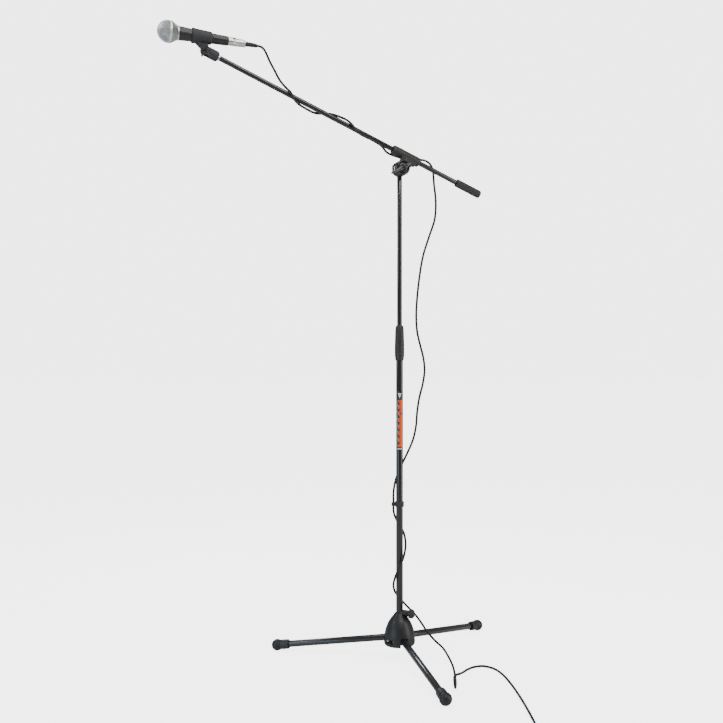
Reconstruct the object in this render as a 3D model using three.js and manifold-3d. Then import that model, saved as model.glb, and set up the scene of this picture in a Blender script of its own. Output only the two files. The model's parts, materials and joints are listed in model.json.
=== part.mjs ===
// Boom microphone stand with a handheld microphone, its clip and its cable.
//
// Units are millimetres and +Z is up. The stand is laid out around its mast: the mast's axis is X = Y = 0 and the
// floor is Z = 0. The last lines move the whole stand so that the origin is the middle of its footprint.

import * as THREE from "three";
import { mergeVertices } from "three/addons/utils/BufferGeometryUtils.js";
import Module from "manifold-3d";

const wasm = await Module();
wasm.setup();

// ---------------------------------------------------------------- driving dimensions

const GAP = 0.3; // between pieces that touch or slide
const DEGREE = Math.PI / 180;

const leg = {
  directions: { front: -71.96, right: 48.04, left: 168.04 }, // degrees about the mast, from +X
  reach: 330.6, // mast axis to the middle of a foot's ball
  crossHeight: 59, // where the legs' axes would meet the mast's axis
  radius: 8.5,
  wall: 1.2,
  start: 27, // along the leg from the mast axis
  endInFoot: 9, // how far short of the ball's middle the tube stops
};
const legPin = { reach: 25, height: 52, radius: 3, halfLength: 27, headRadius: 5.5 };
const knuckle = { radius: 10, width: 15, neck: 36.2, spigot: 26 };
const foot = { ball: 15, sleeve: 12.4, mouth: 11.6, length: 33, patchDrop: 0.25 };

const hub = {
  bottom: 38,
  top: 120,
  wall: 4.5,
  cavityTop: 88,
  bossRadius: 15,
  lipHeight: 72, // the mast rests here
  cheek: 4.5,
  // radius and height of the bell's outside, from the skirt up
  bell: [[36, 38], [38.6, 39.6], [40, 44], [40.1, 52], [39.4, 62], [37.4, 73], [34.3, 83], [30.6, 92], [26.2, 100], [20.8, 107.5], [15.4, 114], [11.8, 120]],
};
const knob = { azimuth: -25, height: 119.5, bossRadius: 8, bossEnd: 28, radius: 12.3, length: 14, screwRadius: 3 };

const lowerMast = { radius: 9, wall: 1.2, top: 815 };
const footCap = { thickness: 3, spigot: 12 };
const heightGrip = {
  bottom: 767,
  // radius and height above the grip's bottom
  outside: [[10.3, 0], [10.9, 2.5], [11.5, 8], [12.4, 17], [12.3, 40], [11.7, 62], [11.1, 80], [10.5, 87], [9.6, 90]],
  coneStart: 52,
  coneRadius: 9.6,
  length: 90,
};
const collet = { length: 33, base: 9, tip: 7.7, slit: 1.6 };
const upperMast = { radius: 6.5, wall: 1.2, bottom: 480, endBelowPivot: 9 };
const glideBush = { flange: 9.7, height: 10, spigot: 20 };
const cableClip = { height: 398, tall: 13, wall: 2.4, mouth: 50, hookCentre: 15.4, hookHole: 4, hookWall: 1.5 };

const clutch = {
  heading: 202, // degrees from +X to the side where the microphone is
  height: 1258.5, // of the tilt axis
  radius: 19.5,
  back: 10.5, // how far the fixed half reaches behind the mast's axis
  fixedFront: 8.5,
  washer: 1.4,
  movingThickness: 16.4,
  boltRadius: 3,
  boltHead: 6,
};
const boom = {
  elevation: 21.85, // degrees
  rise: 35.2, // from the tilt axis to the boom's axis
  side: 10, // from the mast's axis to the boom's plane
  radius: 6.35,
  wall: 1,
  front: 513,
  rear: -215,
};
const sleeve = { front: 39.5, rear: -39.5, radius: 12.6, chamfer: 3, bore: 8.6 };
const sleeveLug = { along: -27, drop: 11.5, radius: 5.2, from: 5, to: 19 };
const web = {
  from: 11.5,
  to: 21.5,
  // along the boom and above the tilt axis, on the fan between the disc and the sleeve
  outline: [[-17, 6], [-26, 17], [-33, 27], [-33, 34], [14, 34], [14, 26], [12.5, 14]],
};
const wing = { bossRadius: 6.6, bossEnd: 17, from: 3, to: 11, longArm: [33.5, -18.5], shortArm: [-12.5, 10.5], armTip: 3.4, armRoot: 5.4 };
const rearGrip = { front: -154, rear: -229, radius: 10.4, chamfer: 1.6 };
const threadEnd = { flangeRadius: 6.5, flange: 3, studRadius: 4.7, stud: 14, spigot: 18 };

const clip = {
  pivot: 551, // along the boom
  base: 12.4,
  baseEnd: 541, // where the socket ends and the yoke starts
  yokeRadius: 9.5,
  tongue: 10,
  cheek: 5.5,
  insert: 7,
  screwRadius: 2.2,
  screwHead: 6.4,
  headThickness: 1.8,
};
const mic = {
  pitch: 1.64, // degrees, with the grille up
  rise: 30.6, // from the clip's pivot to the microphone's axis
  ahead: 84.7, // from the clip's pivot to the middle of the grille's ball
  grille: 25.7,
  grilleWall: 1.6,
  neck: 16.2, // radius where the grille meets the collar
  neckAt: -20.5,
  collar: 16.8,
  collarWidth: 3,
  wall: 2,
  length: 138, // from the ball's middle to the handle's end
};
// distance behind the ball's middle, and radius of the handle there
const handleProfile = [[24.1, 16.3], [40, 15.4], [54, 14.3], [80, 13.0], [103, 12.1], [138, 11.0]];
const barrel = { front: 53, rear: 100, wall: 2, slit: 6, flange: 1.2, flangeWidth: 5 };
const capsule = { radius: 11.5, front: -2, rear: -21, mount: 13.9 };
const pins = { radius: 1.2, circle: 3.8, length: 12, disc: 8.5, discAt: 122, discThickness: 3.4 };
const connector = { shell: 41, front: 9.9, rear: 8.6, bore: 8.3, insert: 7.5, boot: 28, bootFront: 6, bootRear: 4.7 };
const latch = { behind: 7, length: 10, width: 5, top: 10.4, thickness: 1.7, travel: 0.8 };

const cable = { radius: 3, sides: 8 };
const coil = { x: 321.5, y: -512, middle: 36, half: 9.5, bottom: 1.5, height: 18.7 };
const tie = { width: 12, wall: 1.1, slack: 1.1 };
const farPlug = { aside: 6.5, tailStart: 23.4, tailHeight: 6.2, start: 372, shell: 46 };

// The cable's route, as points on its middle line around the mast's axis, from the microphone's connector on.
const alongLead = [
  [-343.0, -149.4, 1523.3], [-338.4, -147.5, 1523.1], [-333.5, -145.6, 1522.1], [-328.8, -143.8, 1519.1],
  [-325.3, -142.5, 1514.6], [-320.3, -141.2, 1504.8], [-315.8, -140.0, 1494.0], [-302.5, -137.3, 1468.5], [-288.8, -134.6, 1443.6],
  [-275.2, -131.0, 1428.0],
];
const alongBoom = [
  [-263.7, -128.7, 1417.3], [-257.5, -124.5, 1404.0], [-247.5, -113.8, 1394.1], [-231.8, -103.5, 1386.3],
  [-215.8, -92.0, 1380.2], [-202.9, -82.0, 1379.1], [-188.5, -75.5, 1380.9], [-170.1, -72.7, 1380.3],
  [-149.1, -70.7, 1374.3], [-130.2, -69.4, 1365.5], [-116.8, -69.4, 1353.4], [-108.9, -65.1, 1340.8],
  [-93.9, -57.4, 1331.7], [-69.4, -48.1, 1321.9], [-46.4, -37.1, 1310.0], [-33.4, -18.4, 1298.5],
];
const pastClamp = [
  [-18.2, -2.2, 1294.2], [8.5, 11.3, 1289.0], [32.5, 20.5, 1288.2], [51.0, 25.6, 1288.6],
  [64.5, 29.6, 1287.8], [76.0, 33.6, 1282.6], [83.8, 36.4, 1273.2], [87.2, 37.6, 1261.3],
];
const hanging = [
  [88.6, 37.4, 1247.0], [90.2, 35.5, 1225.0], [93.6, 34.5, 1195.0], [94.6, 34.0, 1167.0], [91.0, 33.0, 1132.0],
  [77.2, 32.0, 1090.2], [61.0, 30.0, 1037.8], [51.0, 28.0, 977.7], [45.3, 27.0, 923.0], [43.4, 26.0, 883.9],
  [45.6, 25.0, 843.3], [53.2, 24.0, 808.5], [61.6, 23.0, 774.7], [65.0, 22.0, 742.5], [60.2, 21.0, 706.0],
  [51.2, 20.0, 670.0], [45.6, 19.0, 632.1], [42.8, 18.0, 598.0], [34.6, 17.3, 561.0], [18.6, 16.5, 524.0],
  [2.0, 14.2, 490.1], [-10.4, 10.0, 457.3], [-15.6, 2.8, 426.0],
];
const downMast = [
  [-15.4, 0.0, 398.0], [-15.8, 2.8, 384.0], [-12.4, 9.8, 366.0], [-2.0, 15.4, 344.6],
  [11.2, 11.0, 321.0], [15.6, -1.0, 294.1], [11.2, -11.0, 266.5], [0.6, -15.6, 240.7],
  [-11.0, -11.0, 212.8], [-15.6, 0.6, 188.1], [-10.8, 11.2, 168.1], [1.3, 15.8, 151.4],
  [13.6, 15.0, 137.6], [27.0, 11.6, 124.6], [43.0, 7.4, 108.6], [56.7, 6.0, 90.0],
  [71.0, 6.0, 68.5], [89.8, 2.0, 47.6], [110.5, -8.0, 31.0], [123.4, -32.0, 17.0],
];
const onFloor = [
  [130.4, -56.0, 8.6], [133.6, -80.0, 4.4], [134.4, -108.0, 3.5], [134.2, -150.0, 3.4],
  [133.0, -184.0, 3.4], [131.4, -204.0, 3.4], [130.7, -212.0, 3.5], [129.8, -218.6, 5.1],
  [128.8, -223.4, 9.9], [127.9, -225.2, 16.4], [127.2, -223.4, 22.9], [127.4, -218.6, 27.7],
  [128.8, -211.5, 29.6], [134.6, -196.0, 27.6], [145.0, -166.0, 19.6], [156.0, -130.0, 11.6],
  [169.0, -96.0, 6.2], [186.0, -73.0, 3.7], [208.3, -64.9, 3.3], [232.6, -82.1, 3.3],
  [249.7, -121.8, 3.3], [262.7, -186.3, 3.3], [272.7, -263.7, 3.3], [279.6, -339.1, 3.3],
  [284.3, -410.2, 3.4], [285.5, -450.0, 4.4], [285.5, -480.0, 4.7],
];
// One node each: a stretch runs from its first point to the next stretch's first point.
const cableStretches = [
  { name: "cable_lead", points: alongLead, step: 14 },
  { name: "cable_boom_run", points: alongBoom, step: 13 },
  { name: "cable_clamp_loop", points: pastClamp, step: 16 },
  { name: "cable_drop", points: hanging, step: 36 },
  { name: "cable_mast_wrap", points: downMast, step: 15 },
  { name: "cable_floor_run", points: onFloor, step: 14 },
];

// ---------------------------------------------------------------- finishes

const finish = (color, roughness, metalness) => new THREE.MeshStandardMaterial({ color, roughness, metalness });
const blackPaint = finish(0x17181a, 0.22, 0.6);
const satinBlack = finish(0x1d2023, 0.55, 0.2);
const warmPlastic = finish(0x35332f, 0.6, 0);
const blackRubber = finish(0x141414, 0.85, 0);
const blackPlastic = finish(0x191a1b, 0.5, 0);
const brightNickel = finish(0xc9c5bd, 0.25, 1);
const steel = finish(0x8c8e90, 0.35, 1);
const brass = finish(0xb08d4a, 0.35, 1);
const grilleSteel = finish(0xb9bcbf, 0.4, 1);
const handlePaint = finish(0x2b2d2b, 0.5, 0.3);
const cableSkin = finish(0x1b1b1b, 0.6, 0);

// ---------------------------------------------------------------- making closed meshes

/** The mesh as one set of shared vertices, without collapsed triangles, facing out. */
function closed(geometry) {
  const bare = new THREE.BufferGeometry();
  bare.setAttribute("position", geometry.getAttribute("position").clone());
  if (geometry.index) bare.setIndex(geometry.index.clone());
  const merged = mergeVertices(bare, 1e-4);
  const position = merged.getAttribute("position");
  const corners = [0, 1, 2].map(() => new THREE.Vector3());
  const kept = [];
  let volume = 0;
  for (let i = 0; i < merged.index.count; i += 3) {
    const [a, b, c] = [0, 1, 2].map((k) => merged.index.getX(i + k));
    if (a === b || b === c || a === c) continue;
    [a, b, c].forEach((vertex, k) => corners[k].fromBufferAttribute(position, vertex));
    volume += corners[0].dot(corners[1].clone().cross(corners[2]));
    kept.push(a, b, c);
  }
  if (volume < 0) {
    for (let i = 0; i < kept.length; i += 3) [kept[i], kept[i + 1]] = [kept[i + 1], kept[i]];
  }
  merged.setIndex(kept);
  return merged;
}

/** A closed mesh as a solid that can be joined and cut. */
function solid(geometry) {
  const mesh = closed(geometry);
  return new wasm.Manifold(
    new wasm.Mesh({
      numProp: 3,
      vertProperties: new Float32Array(mesh.getAttribute("position").array),
      triVerts: new Uint32Array(mesh.index.array),
    }),
  );
}

/** A solid back as a mesh's geometry. */
function geometryOf(manifold) {
  const mesh = manifold.getMesh();
  const geometry = new THREE.BufferGeometry();
  geometry.setAttribute("position", new THREE.BufferAttribute(mesh.vertProperties, 3));
  geometry.setIndex(new THREE.BufferAttribute(mesh.triVerts, 1));
  return geometry;
}

/** base with every added solid joined to it and every cut taken away. */
function shaped(base, { add = [], cut = [] } = {}) {
  let result = solid(base);
  for (const piece of add) result = result.add(solid(piece));
  for (const piece of cut) result = result.subtract(solid(piece));
  return geometryOf(result);
}

/** Turned about Z: profile holds [radius, height] points. A profile that doesn't start and end on the axis is closed. */
function turned(profile, segments = 24) {
  const points = profile.map(([radius, height]) => new THREE.Vector2(radius, height));
  const open = profile[0][0] > 0 || profile.at(-1)[0] > 0;
  if (open) points.push(points[0].clone());
  return new THREE.LatheGeometry(points, segments).rotateX(Math.PI / 2);
}

/** Turned about X: profile holds [place along X, radius] points. */
function turnedAlong(profile, segments = 24) {
  const upright = profile.map(([place, radius]) => [radius, place]);
  return turned(upright, segments).rotateY(Math.PI / 2);
}

/** A round bar along Z from low to high. */
function bar(radius, low, high, segments = 20) {
  return new THREE.CylinderGeometry(radius, radius, high - low, segments)
    .rotateX(Math.PI / 2)
    .translate(0, 0, (low + high) / 2);
}

/** A round bar along Y from low to high, at x and z. */
function crossBar(radius, low, high, x, z, segments = 20) {
  return new THREE.CylinderGeometry(radius, radius, high - low, segments).translate(x, (low + high) / 2, z);
}

/** A round bar along X from low to high, at y and z. */
function longBar(radius, low, high, y = 0, z = 0, segments = 20) {
  return new THREE.CylinderGeometry(radius, radius, high - low, segments)
    .rotateZ(Math.PI / 2)
    .translate((low + high) / 2, y, z);
}

/** A box between two corners. */
function block(low, high) {
  const size = high.map((value, axis) => value - low[axis]);
  return new THREE.BoxGeometry(...size).translate(...high.map((value, axis) => (value + low[axis]) / 2));
}

/** A tube along Z. */
const pipe = (outer, inner, low, high, segments = 24) =>
  turned([[outer, low], [outer, high], [inner, high], [inner, low]], segments);

/** A tube along X. */
const longPipe = (outer, inner, low, high, segments = 24) =>
  turnedAlong([[low, outer], [high, outer], [high, inner], [low, inner]], segments);

/** An outline in X and Z, as thick in Y as from low to high. */
function slab(outline, low, high) {
  const shape = new THREE.Shape(outline.map(([x, z]) => new THREE.Vector2(x, z)));
  return new THREE.ExtrudeGeometry(shape, { depth: high - low, bevelEnabled: false, curveSegments: 8 })
    .rotateX(Math.PI / 2)
    .translate(0, high, 0);
}

const stand = new THREE.Group();

/** Puts a named piece into a group. */
function place(group, name, geometry, material) {
  const mesh = new THREE.Mesh(closed(geometry), material);
  mesh.name = name;
  group.add(mesh);
  return mesh;
}

/** A group inside another, moved and turned about one axis. */
function within(parent, position, axis, degrees) {
  const group = new THREE.Group();
  group.position.set(...position);
  group.rotation[axis] = degrees * DEGREE;
  parent.add(group);
  return group;
}

// ---------------------------------------------------------------- base

const legSlope = Math.atan2(leg.crossHeight - foot.ball + foot.patchDrop, leg.reach) / DEGREE;
const legLength = leg.reach / Math.cos(legSlope * DEGREE);
const slotHalfWidth = leg.radius + 0.6;

/** A leg's own frame: X runs down the leg from the mast's axis and Z is its upper side. */
const legFrame = (parent, direction) =>
  within(within(parent, [0, 0, leg.crossHeight], "z", direction), [0, 0, 0], "y", legSlope);

/** The pin's place along and across a leg's axis, in the leg's frame. */
function pinInLeg() {
  const [out, down] = [legPin.reach, legPin.height - leg.crossHeight];
  const [cos, sin] = [Math.cos(legSlope * DEGREE), Math.sin(legSlope * DEGREE)];
  return [out * cos - down * sin, out * sin + down * cos];
}

/** A geometry made in a leg's frame, moved to the stand's. */
function fromLeg(geometry, direction) {
  const frame = legFrame(new THREE.Group(), direction);
  frame.parent.parent.updateMatrixWorld(true);
  return geometry.applyMatrix4(frame.matrixWorld);
}

/** A geometry made along X, turned to the clamp knob's direction. */
const towardsKnob = (geometry) => geometry.translate(0, 0, knob.height).rotateZ(knob.azimuth * DEGREE);

function hubHousing() {
  const outside = turned([[0, hub.bottom], ...hub.bell, [0, hub.top]], 36);
  const inside = hub.bell
    .filter(([, height]) => height < hub.cavityTop)
    .map(([radius, height]) => [radius - hub.wall, height]);
  const cavity = solid(turned([[0, hub.bottom - 1], [inside[0][0], hub.bottom - 1], ...inside, [0, hub.cavityTop]], 36))
    .subtract(solid(bar(hub.bossRadius, 0, hub.top, 32)));
  const directions = Object.values(leg.directions);
  const cheekHalf = slotHalfWidth + hub.cheek;
  const hollow = directions.reduce(
    (left, direction) => left.subtract(solid(fromLeg(block([0, -cheekHalf, -60], [80, cheekHalf, 60]), direction))),
    cavity,
  );
  const [pinAlong, pinAcross] = pinInLeg();
  const cuts = directions.flatMap((direction) => [
    fromLeg(block([10, -slotHalfWidth, -60], [90, slotHalfWidth, leg.radius + GAP]), direction),
    fromLeg(crossBar(legPin.radius + GAP, -60, 60, pinAlong, pinAcross, 14), direction),
    fromLeg(crossBar(legPin.headRadius, legPin.halfLength - 1, 60, pinAlong, pinAcross, 18), direction),
    fromLeg(crossBar(legPin.headRadius, -60, 1 - legPin.halfLength, pinAlong, pinAcross, 18), direction),
  ]);
  cuts.push(
    bar(lowerMast.radius + GAP, hub.lipHeight, hub.top + 10, 32),
    bar(lowerMast.radius - 3, 0, hub.top, 24),
    towardsKnob(longBar(knob.screwRadius + GAP, 0, 60, 0, 0, 16)),
  );
  const boss = towardsKnob(longBar(knob.bossRadius, 2, knob.bossEnd, 0, 0, 24));
  const body = solid(outside).subtract(hollow).add(solid(boss));
  return geometryOf(cuts.reduce((left, tool) => left.subtract(solid(tool)), body));
}

function clampKnob() {
  const start = knob.bossEnd + GAP;
  const [r, end] = [knob.radius, start + knob.length];
  const profile = [[start, 0], [start, r - 3.5], [start + 2, r - 0.6], [start + 3.5, r], [end - 4, r], [end - 1.4, r - 1.6], [end, r - 4.6], [end, 0]];
  const notches = Array.from({ length: 8 }, (_, k) =>
    longBar(2.2, start - 1, end + 1, r + 0.9, 0, 10).rotateX((k * Math.PI) / 4),
  );
  const bore = longBar(knob.screwRadius + GAP, start - 1, end - 4, 0, 0, 16);
  return towardsKnob(shaped(turnedAlong(profile, 32), { cut: [...notches, bore] }));
}

const clampScrew = () =>
  towardsKnob(longBar(knob.screwRadius, lowerMast.radius + 2 * GAP, knob.bossEnd + knob.length - 4, 0, 0, 16));

function legKnuckle() {
  const [along, across] = pinInLeg();
  const half = knuckle.width / 2;
  return shaped(crossBar(knuckle.radius, -half, half, along, across, 28), {
    add: [
      block([along, -half, -leg.radius + 0.4], [knuckle.neck, half, leg.radius - 0.4]),
      longBar(leg.radius - leg.wall - GAP, knuckle.neck - 1, knuckle.neck + knuckle.spigot, 0, 0, 20),
    ],
    cut: [crossBar(legPin.radius + GAP, -60, 60, along, across, 14)],
  });
}

const legTube = () =>
  longPipe(leg.radius, leg.radius - leg.wall, knuckle.neck + GAP, legLength - leg.endInFoot, 24);

function rubberFoot() {
  const mouth = legLength - foot.length;
  const ball = Array.from({ length: 9 }, (_, k) => {
    const turn = (130 - (k * 130) / 8) * DEGREE;
    return [legLength + foot.ball * Math.cos(turn), foot.ball * Math.sin(turn)];
  });
  ball[8][1] = 0;
  const socket = leg.radius + GAP;
  const socketEnd = legLength - leg.endInFoot + GAP;
  const profile = [[socketEnd, 0], [socketEnd, socket], [mouth, socket], [mouth, foot.mouth], [mouth + 3, foot.sleeve], ...ball];
  const floorCut = block([-60, -60, -60], [60, 60, -foot.ball + foot.patchDrop])
    .rotateY(-legSlope * DEGREE)
    .translate(legLength, 0, 0);
  return shaped(turnedAlong(profile, 28), { cut: [floorCut] });
}

place(stand, "hub_housing", hubHousing(), satinBlack);
place(stand, "hub_knob", clampKnob(), blackPlastic);
place(stand, "hub_clamp_screw", clampScrew(), steel);
for (const [side, direction] of Object.entries(leg.directions)) {
  const frame = legFrame(stand, direction);
  const [along, across] = pinInLeg();
  const pinEnd = legPin.halfLength - 2 * GAP;
  place(frame, `leg_pin_${side}`, crossBar(legPin.radius, -pinEnd, pinEnd, along, across, 16), steel);
  place(frame, `leg_knuckle_${side}`, legKnuckle(), blackPlastic);
  place(frame, `leg_tube_${side}`, legTube(), blackPaint);
  place(frame, `leg_foot_${side}`, rubberFoot(), blackRubber);
}

// ---------------------------------------------------------------- mast

const mastBottom = hub.lipHeight + GAP;

function footCapSolid() {
  const tubeStart = mastBottom + footCap.thickness;
  const spigot = lowerMast.radius - lowerMast.wall - GAP;
  return turned([[0, mastBottom], [lowerMast.radius, mastBottom], [lowerMast.radius, tubeStart - GAP], [spigot, tubeStart - GAP], [spigot, tubeStart + footCap.spigot], [0, tubeStart + footCap.spigot]]);
}

/** A C-shaped clip around the tube, with a ring on its side that holds the cable. */
function mastCableClip() {
  const inner = lowerMast.radius + GAP;
  const [low, high] = [cableClip.height - cableClip.tall / 2, cableClip.height + cableClip.tall / 2];
  const hookX = -cableClip.hookCentre;
  const outerHook = cableClip.hookHole + cableClip.hookWall;
  const mouthHalf = inner * Math.sin((cableClip.mouth / 2) * DEGREE);
  return shaped(bar(inner + cableClip.wall, low, high, 32), {
    add: [bar(outerHook, low + 2, high - 2, 20).translate(hookX, 0, 0)],
    cut: [
      bar(inner, low - 1, high + 1, 32),
      block([0, -mouthHalf, low - 1], [40, mouthHalf, high + 1]).rotateZ(40 * DEGREE),
      bar(cableClip.hookHole, low - 1, high + 1, 20).translate(hookX, 0, 0),
      block([-40, 0, low - 1], [0, 2.2, high + 1]).rotateZ(-50 * DEGREE).translate(hookX, 0, 0),
    ],
  });
}

function heightGripSolid() {
  const at = (height) => heightGrip.bottom + height;
  const outside = heightGrip.outside.map(([radius, height]) => [radius, at(height)]);
  const inside = [
    [upperMast.radius + GAP, at(heightGrip.length)],
    [upperMast.radius + GAP, at(heightGrip.length - 3)],
    [collet.tip + GAP, at(heightGrip.length - 4)],
    [heightGrip.coneRadius, at(heightGrip.coneStart)],
    [lowerMast.radius + GAP, at(heightGrip.coneStart - 4)],
    [lowerMast.radius + GAP, at(0)],
  ];
  return turned([...outside, ...inside], 28);
}

function colletSolid() {
  const low = lowerMast.top + GAP;
  const high = low + collet.length;
  const bore = upperMast.radius + GAP;
  const ring = turned([[collet.base, low], [collet.base, low + 3], [collet.tip, high], [bore, high], [bore, low]], 24);
  return shaped(ring, { cut: [block([0, -collet.slit / 2, low - 1], [20, collet.slit / 2, high + 1])] });
}

function glideBushSolid() {
  const flange = lowerMast.radius - lowerMast.wall - GAP;
  const spigot = upperMast.radius - upperMast.wall - GAP;
  const [low, seat] = [upperMast.bottom - glideBush.height, upperMast.bottom - GAP];
  return turned([[0, low], [flange, low], [flange, seat], [spigot, seat], [spigot, seat + glideBush.spigot], [0, seat + glideBush.spigot]]);
}

const upperMastTop = clutch.height - upperMast.endBelowPivot;

place(stand, "mast_foot_cap", footCapSolid(), blackPlastic);
place(stand, "lower_mast_tube", pipe(lowerMast.radius, lowerMast.radius - lowerMast.wall, mastBottom + footCap.thickness, lowerMast.top, 32), blackPaint);
place(stand, "mast_cable_clip", mastCableClip(), blackPlastic);
place(stand, "height_collet", colletSolid(), blackPlastic);
place(stand, "height_grip", heightGripSolid(), warmPlastic);
place(stand, "mast_glide_bush", glideBushSolid(), blackPlastic);
place(stand, "upper_mast_tube", pipe(upperMast.radius, upperMast.radius - upperMast.wall, upperMast.bottom, upperMastTop, 24), blackPaint);

// ---------------------------------------------------------------- tilt clutch

// X points level towards the microphone's side and Y along the tilt axis, towards the wing handle.
const heading = within(stand, [0, 0, clutch.height], "z", clutch.heading);
// The same, tipped up with the boom.
const tilted = within(heading, [0, 0, 0], "y", -boom.elevation);

const washerFront = clutch.fixedFront + GAP + clutch.washer;
const movingBack = washerFront + GAP;
const movingFront = movingBack + clutch.movingThickness;
const handleBack = movingFront + GAP;

/** A disc along Y with softened rims. */
function disc(radius, low, high, rim = 1.5) {
  return turned([[0, low], [radius - rim, low], [radius, low + rim], [radius, high - rim], [radius - rim, high], [0, high]], 36)
    .rotateX(-Math.PI / 2);
}

const boltHole = (low, high) => crossBar(clutch.boltRadius + GAP, low, high, 0, 0, 16);

const fixedHalf = () =>
  shaped(disc(clutch.radius, -clutch.back, clutch.fixedFront), {
    cut: [
      boltHole(-40, 40),
      bar(upperMast.radius + GAP, -60, -upperMast.endBelowPivot + GAP, 24),
    ],
  });

/** The half that tips with the boom: its disc, the fan-shaped web and the sleeve. */
function boomClamp() {
  const { front, rear, radius, chamfer, bore } = sleeve;
  const tube = turnedAlong([[rear, 0], [rear, radius - chamfer], [rear + chamfer, radius], [front - chamfer, radius], [front, radius - chamfer], [front, 0]], 16)
    .rotateX(Math.PI / 16)
    .translate(0, boom.side, boom.rise);
  const lugHeight = boom.rise - sleeveLug.drop;
  return shaped(disc(clutch.radius, movingBack, movingFront), {
    add: [
      slab(web.outline, web.from, web.to),
      tube,
      crossBar(sleeveLug.radius, sleeveLug.from, sleeveLug.to, sleeveLug.along, lugHeight, 16),
    ],
    cut: [
      boltHole(-40, 40),
      longBar(bore, rear - 5, front + 5, boom.side, boom.rise, 24),
    ],
  });
}

/** The round-ended arm from the wing's middle to a tip. */
function wingArm([x, z]) {
  const [length, angle] = [Math.hypot(x, z), Math.atan2(z, x)];
  const outline = [[0, -wing.armRoot], [length, -wing.armTip], [length + wing.armTip * 0.8, -wing.armTip * 0.5], [length + wing.armTip * 0.8, wing.armTip * 0.5], [length, wing.armTip], [0, wing.armRoot]];
  return slab(outline, handleBack + wing.from, handleBack + wing.to).rotateY(-angle);
}

const wingHandle = () =>
  shaped(crossBar(wing.bossRadius, handleBack, handleBack + wing.bossEnd, 0, 0, 24), {
    add: [wingArm(wing.longArm), wingArm(wing.shortArm)],
    cut: [boltHole(-40, handleBack + wing.bossEnd - 3)],
  });

const clutchBolt = () =>
  shaped(crossBar(clutch.boltRadius, -clutch.back - 4, handleBack + wing.bossEnd - 4, 0, 0, 16), {
    add: [crossBar(clutch.boltHead, -clutch.back - 4, -clutch.back - GAP, 0, 0, 6)],
  });

const washer = () =>
  shaped(crossBar(clutch.radius - 2.5, clutch.fixedFront + GAP, washerFront, 0, 0, 32), { cut: [boltHole(-40, 40)] });

place(heading, "clutch_fixed_half", fixedHalf(), satinBlack);
place(heading, "clutch_washer", washer(), blackRubber);
place(heading, "clutch_bolt", clutchBolt(), steel);
place(heading, "clutch_wing", wingHandle(), satinBlack);
place(tilted, "boom_clamp", boomClamp(), warmPlastic);

// ---------------------------------------------------------------- boom

const onBoom = within(tilted, [0, boom.side, boom.rise], "x", 0);

function rearGripSolid() {
  const { front, rear, radius, chamfer } = rearGrip;
  const bore = boom.radius + GAP;
  return turnedAlong([[boom.rear - GAP, 0], [boom.rear - GAP, bore], [front, bore], [front, radius - chamfer], [front - chamfer, radius], [rear + 3.5, radius], [rear + 1, radius - 2], [rear, radius - 4.6], [rear, 0]], 28);
}

function threadInsert() {
  const seat = boom.front + GAP;
  const flangeEnd = seat + threadEnd.flange;
  const spigot = boom.radius - boom.wall - GAP;
  return turnedAlong([[boom.front - threadEnd.spigot, 0], [boom.front - threadEnd.spigot, spigot], [seat, spigot], [seat, threadEnd.flangeRadius], [flangeEnd, threadEnd.flangeRadius], [flangeEnd, threadEnd.studRadius], [flangeEnd + threadEnd.stud, threadEnd.studRadius], [flangeEnd + threadEnd.stud, 0]]);
}

const liner = () => longPipe(sleeve.bore - GAP, boom.radius + GAP, sleeve.rear + 1, sleeve.front - 1, 24);
const counterweight = () => longBar(boom.radius - boom.wall - GAP, boom.rear + 1, rearGrip.front + 4, 0, 0, 16);

place(onBoom, "boom_tube", longPipe(boom.radius, boom.radius - boom.wall, boom.rear, boom.front, 24), blackPaint);
place(onBoom, "boom_liner", liner(), blackPlastic);
place(onBoom, "boom_rear_grip", rearGripSolid(), warmPlastic);
place(onBoom, "boom_counterweight", counterweight(), steel);
place(onBoom, "boom_thread_insert", threadInsert(), brightNickel);

// ---------------------------------------------------------------- microphone clip

const studEnd = boom.front + GAP + threadEnd.flange + threadEnd.stud;
const clipStart = boom.front + threadEnd.flange + 2 * GAP;

function clipBase() {
  const { base, baseEnd, yokeRadius, tongue, cheek, pivot } = clip;
  const outside = turnedAlong([[clipStart, 0], [clipStart, base - 3.4], [clipStart + 4.5, base], [baseEnd, base], [baseEnd, 0]], 28);
  const cheekOuter = tongue / 2 + cheek;
  const yoke = [
    crossBar(yokeRadius, -cheekOuter, cheekOuter, pivot, 0, 28),
    block([baseEnd - 12, -cheekOuter, -yokeRadius], [pivot, cheekOuter, yokeRadius]),
  ];
  return shaped(outside, {
    add: yoke,
    cut: [
      block([baseEnd - 5, -tongue / 2 - GAP, -30], [pivot + 30, tongue / 2 + GAP, 30]),
      longBar(clip.insert + GAP, clipStart - 5, studEnd + 1, 0, 0, 20),
      crossBar(clip.screwRadius + GAP, -40, 40, pivot, 0, 14),
    ],
  });
}

const clipInsert = () => longPipe(clip.insert, threadEnd.studRadius + GAP, clipStart, studEnd, 20);

/** The pivot screw with its nut drawn as one fastener. */
function clipScrew() {
  const outer = clip.tongue / 2 + clip.cheek + GAP;
  return shaped(crossBar(clip.screwRadius, -outer - clip.headThickness, outer + clip.headThickness, clip.pivot, 0, 14), {
    add: [
      crossBar(clip.screwHead, outer, outer + clip.headThickness, clip.pivot, 0, 24),
      crossBar(clip.screwHead * 0.75, -outer - clip.headThickness, -outer, clip.pivot, 0, 6),
    ],
  });
}

place(onBoom, "clip_base", clipBase(), blackPlastic);
place(onBoom, "clip_thread_insert", clipInsert(), brass);
place(onBoom, "clip_pivot_screw", clipScrew(), steel);

// X points along the microphone towards its grille, from the clip's pivot.
const atPivot = within(within(onBoom, [clip.pivot, 0, 0], "y", boom.elevation), [0, 0, 0], "y", -mic.pitch);
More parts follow.
